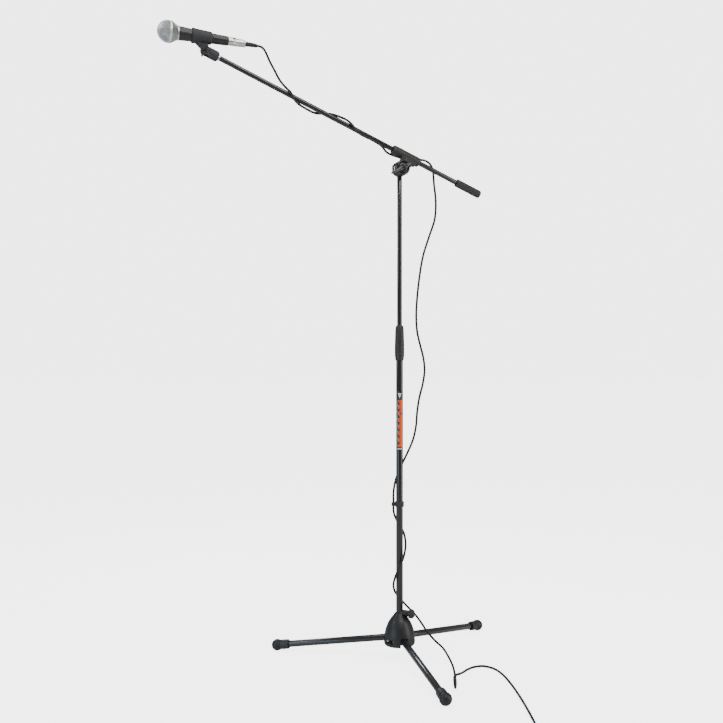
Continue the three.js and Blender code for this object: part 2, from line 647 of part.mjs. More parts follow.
// The same with its origin in the middle of the grille's ball.
const atBall = within(atPivot, [mic.ahead, 0, mic.rise], "x", 0);

/** The handle's radius at a distance behind the ball's middle. */
function handleRadius(behind) {
  const next = handleProfile.findIndex(([place]) => place >= behind);
  if (next <= 0) return handleProfile.at(next)[1];
  const [[x0, r0], [x1, r1]] = [handleProfile[next - 1], handleProfile[next]];
  return r0 + ((r1 - r0) * (behind - x0)) / (x1 - x0);
}

/** The split tapered barrel that holds the microphone, with the neck down to the pivot. */
function clipBarrel() {
  const { front, rear, wall, slit, flange, flangeWidth } = barrel;
  const inner = (behind) => handleRadius(behind) + GAP;
  const outside = turnedAlong([[-rear, 0], [-rear, inner(rear) + wall], [-front - flangeWidth - 2, inner(front) + wall], [-front - flangeWidth, inner(front) + wall + flange], [-front, inner(front) + wall + flange], [-front, 0]], 32);
  const middle = mic.ahead;
  const neckOutline = [[-middle - 8, -mic.rise - 3], [-rear + 9, -inner(rear) + 1], [-front - 4.5, -inner(front) + 1], [-middle + 8, -mic.rise + 1]];
  const half = clip.tongue / 2;
  const bore = [[-rear - 1, 0], [-rear - 1, inner(rear)], ...handleProfile.slice(2, 5).reverse().map(([place]) => [-place, inner(place)]), [-front + 1, inner(front)], [-front + 1, 0]];
  return shaped(outside, {
    add: [
      slab(neckOutline, -half, half),
      crossBar(clip.yokeRadius - 0.8, -half, half, -middle, -mic.rise, 28),
    ],
    cut: [
      turnedAlong(bore, 32),
      block([-rear - 5, -slit / 2, 0], [-front + 5, slit / 2, 40]),
      crossBar(clip.screwRadius + GAP, -40, 40, -middle, -mic.rise, 14),
    ],
  });
}

place(atBall, "clip_barrel", clipBarrel(), blackPlastic);

// ---------------------------------------------------------------- microphone

/** An arc of the ball's outline from one angle to another, as [place along X, radius]. */
const ballArc = (radius, from, to, steps) =>
  Array.from({ length: steps + 1 }, (_, k) => {
    const turn = (from + ((to - from) * k) / steps) * DEGREE;
    return [radius * Math.cos(turn), Math.abs(radius * Math.sin(turn)) < 1e-9 ? 0 : radius * Math.sin(turn)];
  });

function grilleShell() {
  const { grille, grilleWall, neck, neckAt } = mic;
  const outside = [...ballArc(grille, 0, 105, 9), [neckAt, neck]];
  const inside = [[neckAt, neck - grilleWall], ...ballArc(grille - grilleWall, 105, 0, 9)];
  return turnedAlong([...outside, ...inside], 32);
}

function collarRing() {
  const start = mic.neckAt - GAP;
  return longPipe(mic.collar, capsule.mount + GAP, start - mic.collarWidth, start, 32);
}

function handleShell() {
  const outside = handleProfile.map(([place, radius]) => [-place, radius]);
  const inside = outside.map(([place, radius]) => [place, Math.max(radius - mic.wall, pins.disc + GAP)]).reverse();
  return turnedAlong([...outside, ...inside], 32);
}

function capsuleSolid() {
  const { front, rear, radius } = capsule;
  return turnedAlong([[rear, 0], [rear, radius], [front - 2, radius], [front, radius - 2.5], [front, 0]], 24);
}

/** The rubber cup that carries the capsule in the neck. */
const capsuleMount = () =>
  turnedAlong([[-34, 0], [-34, 9], [-27.5, 13.2], [-25, capsule.mount], [capsule.rear + 8, capsule.mount - 0.4], [capsule.rear + 8, capsule.radius + GAP], [capsule.rear - GAP, capsule.radius + GAP], [capsule.rear - GAP, 0]], 24);

/** Three contact pins on a disc, both along X, the pins pointing back. */
function contactSet(discFront, pinEnd) {
  const three = [90, 210, 330].map((turn) =>
    longBar(pins.radius, pinEnd, discFront - 1, pins.circle * Math.cos(turn * DEGREE), pins.circle * Math.sin(turn * DEGREE), 10),
  );
  return shaped(longBar(pins.disc, discFront - pins.discThickness, discFront, 0, 0, 24), { add: three });
}

place(atBall, "mic_grille", grilleShell(), grilleSteel);
place(atBall, "mic_collar_ring", collarRing(), brightNickel);
place(atBall, "mic_handle", handleShell(), handlePaint);
place(atBall, "mic_capsule", capsuleSolid(), steel);
place(atBall, "mic_capsule_mount", capsuleMount(), blackRubber);
place(atBall, "mic_contact_pins", contactSet(-pins.discAt, -pins.discAt - pins.discThickness - pins.length), brass);

// ---------------------------------------------------------------- cable connectors

const shellStart = -mic.length - 2 * GAP;
const shellEnd = shellStart - connector.shell;
const bootStart = shellEnd - GAP;
const bootEnd = bootStart - connector.boot;

function connectorShell() {
  const { front, rear, bore } = connector;
  const outside = turnedAlong([[shellEnd, 0], [shellEnd, rear - 0.8], [shellEnd + 1, rear], [shellStart - 12, front - 0.2], [shellStart - 1, front], [shellStart, front - 0.6], [shellStart, 0]], 32);
  const [start, end] = [shellStart - latch.behind, shellStart - latch.behind - latch.length];
  const half = latch.width / 2 + GAP;
  return shaped(outside, {
    cut: [
      longBar(bore, shellEnd + 4, shellStart + 1, 0, 0, 28),
      longBar(connector.bootRear, shellEnd - 1, shellEnd + 5, 0, 0, 20),
      block([end - GAP, -half, 0], [start + GAP, half, 20]),
    ],
  });
}

/** The insert with its three sockets. */
function socketInsert() {
  const nose = -pins.discAt - pins.discThickness - 1;
  const sockets = [90, 210, 330].map((turn) =>
    longBar(pins.radius + GAP, nose - pins.length - 1, nose + 1, pins.circle * Math.cos(turn * DEGREE), pins.circle * Math.sin(turn * DEGREE), 10),
  );
  return shaped(longBar(connector.insert, shellEnd + 14, nose, 0, 0, 28), { cut: sockets });
}

function latchButton() {
  const [start, end] = [shellStart - latch.behind, shellStart - latch.behind - latch.length];
  const [low, high] = [latch.top - latch.thickness, latch.top];
  return slab([[end, low], [end, high - 0.5], [end + 1.5, high], [start - 2.5, high], [start, high - 0.9], [start, low]], -latch.width / 2, latch.width / 2);
}

const boot = () =>
  turnedAlong([[bootEnd, 0], [bootEnd, connector.bootRear - 0.5], [bootEnd + 1.2, connector.bootRear], [bootStart - 1.5, connector.bootFront], [bootStart, connector.bootFront - 0.8], [bootStart, 0]], 24);

place(atBall, "connector_shell", connectorShell(), brightNickel);
place(atBall, "connector_insert", socketInsert(), blackPlastic);
place(atBall, "connector_latch", latchButton(), blackPlastic);
place(atBall, "connector_boot", boot(), blackRubber);

// The far plug lies on the floor beside the coil, along X.
const plugHeight = connector.front + GAP;
const plug = within(stand, [farPlug.start, coil.y - coil.middle - farPlug.aside, plugHeight], "x", 0);
const plugBoot = () =>
  turnedAlong([[0, 0], [0, connector.bootRear - 0.5], [1.2, connector.bootRear], [connector.boot - 1, connector.bootFront], [connector.boot, connector.bootFront - 0.8], [connector.boot, 0]], 20);

function plugShell() {
  const start = connector.boot + GAP;
  const end = start + farPlug.shell;
  const { front, rear, bore } = connector;
  return turnedAlong([[start, bore - 3], [start, rear - 0.8], [start + 1, rear], [end - 14, front], [end, front], [end, front - 0.9], [end - 15, front - 0.9], [start + 8, rear - 1], [start + 8, bore - 3]], 28);
}

function plugInsert() {
  const face = connector.boot + GAP + farPlug.shell - pins.length - 3;
  return contactSet(-face, -face - pins.length).rotateZ(Math.PI);
}

place(plug, "plug_boot", plugBoot(), blackRubber);
place(plug, "plug_shell", plugShell(), brightNickel);
place(plug, "plug_contact_pins", plugInsert(), brass);

// ---------------------------------------------------------------- cable

/** One stretch of a curve, by length. */
class Stretch extends THREE.Curve {
  constructor(curve, start, end) {
    super();
    this.curve = curve;
    this.start = start;
    this.end = end;
  }

  getPoint(t, target = new THREE.Vector3()) {
    return this.curve.getPointAt(this.start + (this.end - this.start) * t, target);
  }
}

const routePoints = cableStretches.flatMap(({ points }) => points);
const route = new THREE.CatmullRomCurve3(routePoints.map((point) => new THREE.Vector3(...point)), false, "centripetal");
const stepsPerPoint = 40;
route.arcLengthDivisions = (routePoints.length - 1) * stepsPerPoint;

/** How far along the route, as a share of its length, the point with that number is. */
function shareAt(number) {
  const lengths = route.getLengths();
  return lengths[Math.min(number * stepsPerPoint, lengths.length - 1)] / lengths.at(-1);
}

/** A plain tube along the route from one point to another, a gap short of its neighbours at both ends. */
function cableTube(first, last, step) {
  const total = route.getLength();
  const trim = GAP / 2 / total;
  const [start, end] = [shareAt(first) + trim, shareAt(last) - trim];
  const steps = Math.max(2, Math.round(((end - start) * total) / step));
  const section = new THREE.Shape(
    Array.from({ length: cable.sides }, (_, k) => {
      const turn = (k / cable.sides) * 2 * Math.PI;
      return new THREE.Vector2(cable.radius * Math.cos(turn), cable.radius * Math.sin(turn));
    }),
  );
  return new THREE.ExtrudeGeometry(section, { steps, bevelEnabled: false, extrudePath: new Stretch(route, start, end) });
}

let firstPoint = 0;
for (const { name, points, step } of cableStretches) {
  place(stand, name, cableTube(firstPoint, firstPoint + points.length, step), cableSkin);
  firstPoint += points.length;
}

/** The outer shape of the cable's coil. */
function coilSolid() {
  const [inner, outer] = [coil.middle - coil.half, coil.middle + coil.half];
  const [low, high] = [coil.bottom, coil.bottom + coil.height];
  return turned([[inner + 3, low], [outer - 3, low], [outer, low + 3], [outer, high - 3], [outer - 3, high], [inner + 3, high], [inner, high - 3], [inner, low + 3]], 28)
    .translate(coil.x, coil.y, 0);
}

/** The strap around the coil's bundle. */
function tieSolid() {
  const half = coil.half + tie.slack;
  const [low, high] = [coil.bottom - GAP, coil.bottom + coil.height + GAP];
  const outer = block([-half - tie.wall, -tie.width / 2, low - tie.wall], [half + tie.wall, tie.width / 2, high + tie.wall]);
  return shaped(outer, { cut: [block([-half, -tie.width, low], [half, tie.width, high])] })
    .translate(coil.x + coil.middle, coil.y, 0);
}

/** The end of the cable, from the coil's last turn up to the far plug. */
function tailSolid() {
  const y = coil.y - coil.middle - farPlug.aside;
  const [start, end] = [coil.x + farPlug.tailStart, farPlug.start - 2.5 * GAP];
  const section = new THREE.Shape(
    Array.from({ length: 12 }, (_, k) => {
      const turn = (k / 12) * 2 * Math.PI;
      return new THREE.Vector2(cable.radius * Math.cos(turn), cable.radius * Math.sin(turn));
    }),
  );
  const slope = new THREE.LineCurve3(new THREE.Vector3(start, y, farPlug.tailHeight), new THREE.Vector3(end, y, plugHeight));
  return new THREE.ExtrudeGeometry(section, { steps: 2, bevelEnabled: false, extrudePath: slope });
}

place(stand, "cable_coil", coilSolid(), cableSkin);
place(stand, "cable_tie", tieSolid(), blackPlastic);
place(stand, "cable_tail", tailSolid(), cableSkin);

// ---------------------------------------------------------------- the origin, in the middle of the stand's footprint

stand.updateMatrixWorld(true);
const freeCable = /^(cable_|plug_)/;
const footprint = new THREE.Box3();
stand.traverse((piece) => {
  if (piece.isMesh && !freeCable.test(piece.name)) footprint.expandByObject(piece, true);
});
const middle = footprint.getCenter(new THREE.Vector3());
stand.position.set(-middle.x, -middle.y, -footprint.min.z);

export default stand;
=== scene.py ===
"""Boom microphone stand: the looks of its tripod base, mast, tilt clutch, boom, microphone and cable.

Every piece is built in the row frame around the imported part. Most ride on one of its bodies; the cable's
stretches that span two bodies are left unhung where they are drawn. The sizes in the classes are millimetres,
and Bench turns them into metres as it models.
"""

import json
import logging
import math
from dataclasses import dataclass, field
from enum import Enum
from typing import Callable, Iterable, Sequence, Union

import bpy
from mathutils import Matrix, Vector


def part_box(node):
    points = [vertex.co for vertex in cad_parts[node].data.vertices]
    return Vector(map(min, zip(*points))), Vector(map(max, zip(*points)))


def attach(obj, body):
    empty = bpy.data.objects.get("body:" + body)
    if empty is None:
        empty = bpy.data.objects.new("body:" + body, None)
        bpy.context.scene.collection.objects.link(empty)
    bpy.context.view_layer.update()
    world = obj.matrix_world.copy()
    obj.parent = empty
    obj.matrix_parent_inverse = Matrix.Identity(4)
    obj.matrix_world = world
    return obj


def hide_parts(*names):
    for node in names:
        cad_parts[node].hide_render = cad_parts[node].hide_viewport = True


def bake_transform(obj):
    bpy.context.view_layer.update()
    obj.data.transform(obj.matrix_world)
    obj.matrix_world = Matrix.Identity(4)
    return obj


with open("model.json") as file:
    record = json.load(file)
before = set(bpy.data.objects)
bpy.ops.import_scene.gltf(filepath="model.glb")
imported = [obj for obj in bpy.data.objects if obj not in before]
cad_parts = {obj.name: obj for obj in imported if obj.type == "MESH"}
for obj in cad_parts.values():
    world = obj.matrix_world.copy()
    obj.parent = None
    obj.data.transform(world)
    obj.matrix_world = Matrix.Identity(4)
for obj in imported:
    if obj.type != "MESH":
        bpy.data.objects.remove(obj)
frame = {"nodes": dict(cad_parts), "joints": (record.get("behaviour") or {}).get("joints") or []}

LOG = logging.getLogger("stand")
MM = 0.001  # a millimetre in metres
GAP = 0.3  # clearance between pieces, in millimetres
COIL_MIDDLE = (321.5, -512.0)  # the cable coil's axis, from the foot of the mast

Profile = Sequence[tuple[float, float]]
Point = tuple[float, float, float]
Colour = tuple[float, float, float]
Piece = bpy.types.Object
Socket = bpy.types.NodeSocket


# ---------------------------------------------------------------- modelling steps


class Bench:
    """Modelling steps shared by every sub-assembly. Lengths passed in are millimetres."""

    @staticmethod
    def clear() -> None:
        """Leave edit mode and deselect everything."""
        if bpy.context.object is not None and bpy.context.object.mode != "OBJECT":
            bpy.ops.object.mode_set(mode="OBJECT")
        bpy.ops.object.select_all(action="DESELECT")

    @staticmethod
    def hold(piece: Piece) -> Piece:
        """Select one piece alone and make it active.

        Args:
            piece: The piece to work on.

        Returns:
            The same piece.
        """
        Bench.clear()
        piece.select_set(True)
        bpy.context.view_layer.objects.active = piece
        return piece

    @staticmethod
    def named(name: str) -> Piece:
        """Name the primitive just added and bring its place into its mesh."""
        piece = bpy.context.object
        piece.name = name
        piece.data.name = name
        bpy.ops.object.transform_apply(location=True, rotation=True, scale=True)
        return piece

    @staticmethod
    def turned(name: str, profile: Profile, segments: int = 64, hollow: bool = False) -> Piece:
        """Draw a round piece up from a circle, ring by ring, about the Z axis.

        Args:
            name: The piece's name.
            profile: Radius and height of each ring, from the first circle on.
            segments: Vertices in each ring.
            hollow: True when the profile comes back to its first ring, as for a tube's wall.

        Returns:
            The new piece, with flat caps at both ends unless it is hollow.
        """
        Bench.clear()
        radius, height = profile[0]
        fill = "NOTHING" if hollow else "NGON"
        bpy.ops.mesh.primitive_circle_add(
            vertices=segments, radius=radius * MM, fill_type=fill, location=(0, 0, height * MM)
        )
        piece = Bench.named(name)
        bpy.ops.object.mode_set(mode="EDIT")
        bpy.ops.mesh.select_mode(type="VERT")
        bpy.ops.mesh.select_all(action="SELECT")
        rings = [*profile[1:], profile[0]] if hollow else profile[1:]
        for next_radius, next_height in rings:
            rise = (0, 0, (next_height - height) * MM)
            bpy.ops.mesh.extrude_region_move(TRANSFORM_OT_translate={"value": rise})
            ratio = next_radius / radius
            bpy.ops.transform.resize(value=(ratio, ratio, 1), center_override=(0, 0, next_height * MM))
            radius, height = next_radius, next_height
        bpy.ops.mesh.select_all(action="SELECT")
        bpy.ops.mesh.remove_doubles(threshold=1e-6)
        bpy.ops.mesh.normals_make_consistent(inside=False)
        bpy.ops.object.mode_set(mode="OBJECT")
        return piece

    @staticmethod
    def block(name: str, low: Point, high: Point) -> Piece:
        """Add a box between two corners."""
        Bench.clear()
        middle = [(a + b) / 2 * MM for a, b in zip(low, high)]
        size = [(b - a) * MM for a, b in zip(low, high)]
        bpy.ops.mesh.primitive_cube_add(size=1, location=middle, scale=size)
        return Bench.named(name)

    @staticmethod
    def put(piece: Piece, place: Matrix) -> Piece:
        """Carry a piece to a place in the row frame and write that place into its mesh."""
        Bench.hold(piece)
        piece.matrix_world = place
        bpy.ops.object.transform_apply(location=True, rotation=True, scale=True)
        return piece

    @staticmethod
    def combine(piece: Piece, others: Iterable[Piece], operation: str) -> Piece:
        """Join other pieces to a piece, or cut them from it, and remove them."""
        for other in others:
            Bench.hold(piece)
            bpy.ops.object.modifier_add(type="BOOLEAN")
            modifier = piece.modifiers[-1]
            modifier.operation = operation
            modifier.solver = "EXACT"
            modifier.object = other
            bpy.ops.object.modifier_apply(modifier=modifier.name)
            bpy.data.objects.remove(other, do_unlink=True)
        return piece

    @staticmethod
    def cut(piece: Piece, *tools: Piece) -> Piece:
        """Cut tools out of a piece."""
        return Bench.combine(piece, tools, "DIFFERENCE")

    @staticmethod
    def unite(piece: Piece, *others: Piece) -> Piece:
        """Make one body of a piece and others that reach into it."""
        return Bench.combine(piece, others, "UNION")

    @staticmethod
    def soften(piece: Piece, width: float, segments: int = 2, angle: float = 32) -> Piece:
        """Round every edge sharper than an angle.

        Args:
            piece: The piece to soften.
            width: The bevel's width.
            segments: Faces across the bevel.
            angle: The least angle between faces, in degrees, that is rounded.

        Returns:
            The same piece.
        """
        Bench.hold(piece)
        bpy.ops.object.modifier_add(type="BEVEL")
        modifier = piece.modifiers[-1]
        modifier.width = width * MM
        modifier.segments = segments
        modifier.limit_method = "ANGLE"
        modifier.angle_limit = math.radians(angle)
        modifier.use_clamp_overlap = True
        bpy.ops.object.modifier_apply(modifier=modifier.name)
        return piece

    @staticmethod
    def rounded(piece: Piece, levels: int) -> Piece:
        """Subdivide a cage into a smooth body."""
        Bench.hold(piece)
        bpy.ops.object.modifier_add(type="SUBSURF")
        modifier = piece.modifiers[-1]
        modifier.levels = levels
        modifier.render_levels = levels
        bpy.ops.object.modifier_apply(modifier=modifier.name)
        return piece

    @staticmethod
    def smooth(piece: Piece, angle: float = 32) -> Piece:
        """Shade smooth, keeping edges sharper than an angle in degrees."""
        Bench.hold(piece)
        bpy.ops.object.shade_smooth_by_angle(angle=math.radians(angle))
        return piece

    @staticmethod
    def select(piece: Piece, test: Callable[[Vector], bool], mode: str = "VERT") -> None:
        """Enter edit mode with the vertices, or faces by their middle, that pass a test in millimetres."""
        Bench.hold(piece)
        mesh = piece.data
        for group in (mesh.vertices, mesh.edges, mesh.polygons):
            group.foreach_set("select", [False] * len(group))
        if mode == "VERT":
            for vertex in mesh.vertices:
                vertex.select = test(vertex.co / MM)
        else:
            for polygon in mesh.polygons:
                polygon.select = test(polygon.center / MM)
        bpy.ops.object.mode_set(mode="EDIT")
        bpy.ops.mesh.select_mode(type=mode)

    @staticmethod
    def fluted(
        piece: Piece, count: int, depth: float, low: float, high: float, share: float = 0.5
    ) -> Piece:
        """Press lengthwise grooves into a round piece about Z.

        Args:
            piece: The round piece.
            count: Grooves around it.
            depth: How much of the radius is pressed in, as a share of it.
            low: Where the grooves start along Z.
            high: Where they end.
            share: The part of each pitch that the groove takes.

        Returns:
            The same piece.
        """
        pitch = 2 * math.pi / count

        def in_groove(place: Vector) -> bool:
            """Whether a place on the wall is in a groove."""
            around = (math.atan2(place.y, place.x) + math.pi + 1e-4) % pitch
            return low < place.z < high and around < pitch * share

        Bench.select(piece, in_groove)
        bpy.ops.transform.resize(value=(1 - depth, 1 - depth, 1), center_override=(0, 0, 0))
        bpy.ops.object.mode_set(mode="OBJECT")
        return piece


def eased(profile: Profile, steps: int = 4) -> list[tuple[float, float]]:
    """Run a smooth line through a profile's points.

    Args:
        profile: Radius and height of each point.
        steps: New points for each stretch between two of them.

    Returns:
        The finer profile.
    """
    points = [Vector((radius, height, 0)) for radius, height in profile]
    return [(place.x, place.y) for place in smooth_line(points, steps)]


def arc(centre: float, radius: float, start: float, end: float, steps: int) -> list[tuple[float, float]]:
    """Points on a ball's outline, as radius and height.

    Args:
        centre: The ball's height.
        radius: Its radius.
        start: The first angle from the upward pole, in degrees.
        end: The last one.
        steps: Stretches between them.

    Returns:
        The points, never quite on the axis.
    """
    turns = [math.radians(start + (end - start) * k / steps) for k in range(steps + 1)]
    return [(max(radius * math.sin(t), 0.05), centre + radius * math.cos(t)) for t in turns]


def smooth_line(points: Sequence[Vector], steps: int) -> list[Vector]:
    """Run a centripetal Catmull-Rom line through points.

    Args:
        points: The points it passes through.
        steps: Stretches between each two of them.

    Returns:
        Places along the line, the first and last point among them.
    """
    before = points[0] * 2 - points[1]
    after = points[-1] * 2 - points[-2]
    padded = [before, *points, after]
    line: list[Vector] = [points[0].copy()]
    for p0, p1, p2, p3 in zip(padded, padded[1:], padded[2:], padded[3:]):
        d1 = math.sqrt((p2 - p1).length)
        d0 = math.sqrt((p1 - p0).length) or d1
        d2 = math.sqrt((p3 - p2).length) or d1
        t1 = ((p1 - p0) / d0 - (p2 - p0) / (d0 + d1) + (p2 - p1) / d1) * d1
        t2 = ((p2 - p1) / d1 - (p3 - p1) / (d1 + d2) + (p3 - p2) / d2) * d1
        for k in range(1, steps + 1):
            t = k / steps
            cubic = (p1 - p2) * 2 + t1 + t2
            square = (p2 - p1) * 3 - t1 * 2 - t2
            line.append(p1 + t1 * t + square * t * t + cubic * t * t * t)
    return line


# ---------------------------------------------------------------- where things are


class Turn(Enum):
    """Which axis of a sub-assembly's own frame a turned piece lies along."""

    ALONG_X = Matrix.Rotation(math.radians(90), 4, "Y")
    ALONG_Y = Matrix.Rotation(math.radians(-90), 4, "X")


def placed(origin: Vector, x: Vector, y: Vector) -> Matrix:
    """Make a frame from its origin and two of its axes.

    Args:
        origin: The origin in the row frame, in metres.
        x: Its X axis.
        y: Its Y axis.

    Returns:
        The matrix that takes the frame's places to the row frame.
    """
    axes = Matrix((x.normalized(), y.normalized(), x.cross(y).normalized())).transposed()
    return Matrix.Translation(origin) @ axes.to_4x4()


def shifted(x: float, y: float, z: float) -> Matrix:
    """A move by millimetres."""
    return Matrix.Translation((x * MM, y * MM, z * MM))


class Layout:
    """The frames of the stand's sub-assemblies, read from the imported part's joints.

    Attributes:
        leg_crossing: The height at which the legs' lines meet the mast's axis.
        foot_ball: The radius of a foot's ball.
        foot_flat: How far the ball is worn flat by the floor.
        foot_reach: From the mast's axis to the middle of a foot's ball.
        boom_offset: The boom's axis from the tilt axis, across and up.
        clip_pivot: The clip's pivot behind and below the middle of the microphone's ball.
    """

    leg_crossing = 59.0
    foot_ball = 15.0
    foot_flat = 0.25
    foot_reach = 330.6
    boom_offset = (10.0, 35.2)
    clip_pivot = (-84.7, -30.6)

    def __init__(self) -> None:
        """Read the joints and the mast's place."""
        self.joints = {joint["name"]: joint for joint in frame["joints"]}
        low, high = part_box("lower_mast_tube")
        self.mast_point = Vector(((low.x + high.x) / 2, (low.y + high.y) / 2, 0))
        tilt_axis = self.axis("boom_tilt")
        along = self.axis("boom_length_slide")
        pivot = Vector(self.joints["boom_tilt"]["pos_m"])
        self.mast = Matrix.Translation(self.mast_point)
        self.heading = placed(pivot, tilt_axis.cross(Vector((0, 0, 1))), tilt_axis)
        self.tilted = placed(pivot, along, tilt_axis)
        self.boom = self.tilted @ shifted(0, *self.boom_offset)
        at_pivot = placed(
            Vector(self.joints["mic_pitch"]["pos_m"]), self.axis("mic_out_of_clip_slide"), tilt_axis
        )
        self.microphone = at_pivot @ shifted(-self.clip_pivot[0], 0, -self.clip_pivot[1])
        self.slope = math.atan2(self.leg_crossing - self.foot_ball + self.foot_flat, self.foot_reach)

    def axis(self, joint: str) -> Vector:
        """A joint's axis."""
        return Vector(self.joints[joint]["axis"]).normalized()

    def leg(self, side: str) -> Matrix:
        """A leg's frame: X down the leg from the mast's axis, Y along its pin."""
        pin = self.axis(f"leg_{side}_fold")
        out = pin.cross(Vector((0, 0, 1)))
        down = out * math.cos(self.slope) - Vector((0, 0, math.sin(self.slope)))
        return placed(self.mast_point + Vector((0, 0, self.leg_crossing * MM)), down, pin)

    def knob(self) -> Matrix:
        """The base's clamp knob's frame: X outwards."""
        out = self.axis("hub_knob_turn")
        height = self.joints["hub_knob_turn"]["pos_m"][2]
        return placed(self.mast_point + Vector((0, 0, height)), out, Vector((0, 0, 1)).cross(out))


# ---------------------------------------------------------------- finishes


class NodeBoard:
    """A material's nodes, laid by name, with short ways to wire them."""

    def __init__(self, name: str) -> None:
        """Start a material with a shader and object coordinates."""
        self.material = bpy.data.materials.new(name)
        self.material.use_nodes = True
        self.nodes = self.material.node_tree.nodes
        self.links = self.material.node_tree.links
        self.shader = next(node for node in self.nodes if node.type == "BSDF_PRINCIPLED")
        self.coordinates = self.nodes.new("ShaderNodeTexCoord")

    def wire(self, source: Socket, target: Socket) -> None:
        """Join two sockets."""
        self.links.new(source, target)

    def mapped(self, stretch: Point, uv: bool = False) -> Socket:
        """Object coordinates, or the piece's own UV map, scaled along each axis."""
        mapping = self.nodes.new("ShaderNodeMapping")
        mapping.inputs["Scale"].default_value = stretch
        self.wire(self.coordinates.outputs["UV" if uv else "Object"], mapping.inputs["Vector"])
        return mapping.outputs["Vector"]

    def noise(self, place: Socket, scale: float, detail: float = 4) -> Socket:
        """A noise of a given size."""
        node = self.nodes.new("ShaderNodeTexNoise")
        node.inputs["Scale"].default_value = scale
        node.inputs["Detail"].default_value = detail
        self.wire(place, node.inputs["Vector"])
        return node.outputs["Fac"]

    def ramp(self, factor: Socket, stops: Sequence[tuple[float, Colour]]) -> Socket:
        """Colours along a factor."""
        node = self.nodes.new("ShaderNodeValToRGB")
        elements = node.color_ramp.elements
        while len(elements) < len(stops):
            elements.new(0.5)
        for element, (position, colour) in zip(elements, stops):
            element.position = position
            element.color = (*colour, 1)
        self.wire(factor, node.inputs["Fac"])
        return node.outputs["Color"]

    def spread(self, factor: Socket, low: float, high: float) -> Socket:
        """A factor spread over a range of values."""
        node = self.nodes.new("ShaderNodeMapRange")
        node.inputs["From Min"].default_value = 0.3
        node.inputs["From Max"].default_value = 0.7
        node.inputs["To Min"].default_value = low
        node.inputs["To Max"].default_value = high
        self.wire(factor, node.inputs["Value"])
        return node.outputs["Result"]

    def maths(
        self, operation: str, first: Union[Socket, float], second: Union[Socket, float, None] = None
    ) -> Socket:
        """One sum on sockets or numbers."""
        node = self.nodes.new("ShaderNodeMath")
        node.operation = operation
        for socket, value in zip(node.inputs, (first, second)):
            if isinstance(value, Socket):
                self.wire(value, socket)
            elif value is not None:
                socket.default_value = value
        return node.outputs["Value"]

    def blended(
        self, factor: Socket, first: Union[Socket, Colour], second: Union[Socket, Colour]
    ) -> Socket:
        """Mix two colours by a factor."""
        node = self.nodes.new("ShaderNodeMix")
        node.data_type = "RGBA"
        self.wire(factor, node.inputs["Factor"])
        for socket, value in ((node.inputs[6], first), (node.inputs[7], second)):
            if isinstance(value, Socket):
                self.wire(value, socket)
            else:
                socket.default_value = (*value, 1)
        return node.outputs[2]

    def relief(self, height: Socket, strength: float, depth: float) -> None:
        """Raise the surface by a height, to a depth in millimetres."""
        node = self.nodes.new("ShaderNodeBump")
        node.inputs["Strength"].default_value = strength
        node.inputs["Distance"].default_value = depth * MM
        self.wire(height, node.inputs["Height"])
        self.wire(node.outputs["Normal"], self.shader.inputs["Normal"])


@dataclass(frozen=True)
class Finish:
    """A surface: two shades it drifts between, its roughness and its grain.

    Attributes:
        name: The material's name.
        colour: Its main colour.
        other: The shade it drifts to.
        roughness: The least and the most.
        metallic: 1 for bare or plated metal.
        coat: Strength of a clear layer on top.
        drift: Size of the slow change of shade, per metre.
        grain: Size of the fine grain, per metre.
        relief: Strength of the grain's relief.
        stretch: How the grain is drawn out along each axis.
        scuffs: How strongly light rub marks show, from 0.
    """

    name: str
    colour: Colour
    other: Colour
    roughness: tuple[float, float]
    metallic: float = 0.0
    coat: float = 0.0
    drift: float = 18.0
    grain: float = 900.0
    relief: float = 0.12
    stretch: Point = (1, 1, 1)
    scuffs: float = 0.0

    def material(self) -> bpy.types.Material:
        """The finish as a material, made once."""
        return bpy.data.materials.get(self.name) or self.made()

    def made(self) -> bpy.types.Material:
        """Lay the nodes."""
        board = NodeBoard(self.name)
        shader = board.shader
        shader.inputs["Metallic"].default_value = self.metallic
        shader.inputs["Coat Weight"].default_value = self.coat
        shader.inputs["Coat Roughness"].default_value = 0.12
        place = board.mapped(self.stretch)
        slow = board.noise(place, self.drift, 3)
        fine = board.noise(place, self.grain, 5)
        colour = board.ramp(slow, [(0.35, self.colour), (0.68, self.other)])
        if self.scuffs:
            rubbed = board.noise(board.mapped((1, 1, 0.35)), 260, 8)
            marks = board.maths("MULTIPLY", board.spread(rubbed, -0.9, 1.0), self.scuffs)
            lighter = tuple(min(1, channel * 2.2 + 0.03) for channel in self.other)
            colour = board.blended(board.maths("MAXIMUM", marks, 0), colour, lighter)
        board.wire(colour, shader.inputs["Base Color"])
        both = board.maths("ADD", board.maths("MULTIPLY", slow, 0.5), board.maths("MULTIPLY", fine, 0.5))
        board.wire(board.spread(both, *self.roughness), shader.inputs["Roughness"])
        board.relief(fine, self.relief, 0.12)
        return board.material


@dataclass(frozen=True)
class JacketFinish(Finish):
    """A cable's jacket, with the faint twist of the strands under it."""

    def made(self) -> bpy.types.Material:
        """Lay the nodes on the tube's own UV map: across is one turn, along is metres."""
        board = NodeBoard(self.name)
        shader = board.shader
        twist = board.nodes.new("ShaderNodeTexWave")
        twist.bands_direction = "DIAGONAL"
        twist.inputs["Scale"].default_value = 14
        twist.inputs["Distortion"].default_value = 0.6
        board.wire(board.mapped((2, 40, 1), uv=True), twist.inputs["Vector"])
        slow = board.noise(board.mapped((1, 1, 1)), 26, 4)
        fine = board.noise(board.mapped((1, 1, 1)), 1500, 4)
        board.wire(board.ramp(slow, [(0.3, self.colour), (0.7, self.other)]), shader.inputs["Base Color"])
        board.wire(board.spread(fine, *self.roughness), shader.inputs["Roughness"])
        height = board.maths("ADD", board.maths("MULTIPLY", twist.outputs["Fac"], 0.5), fine)
        board.relief(height, self.relief, 0.1)
        return board.material


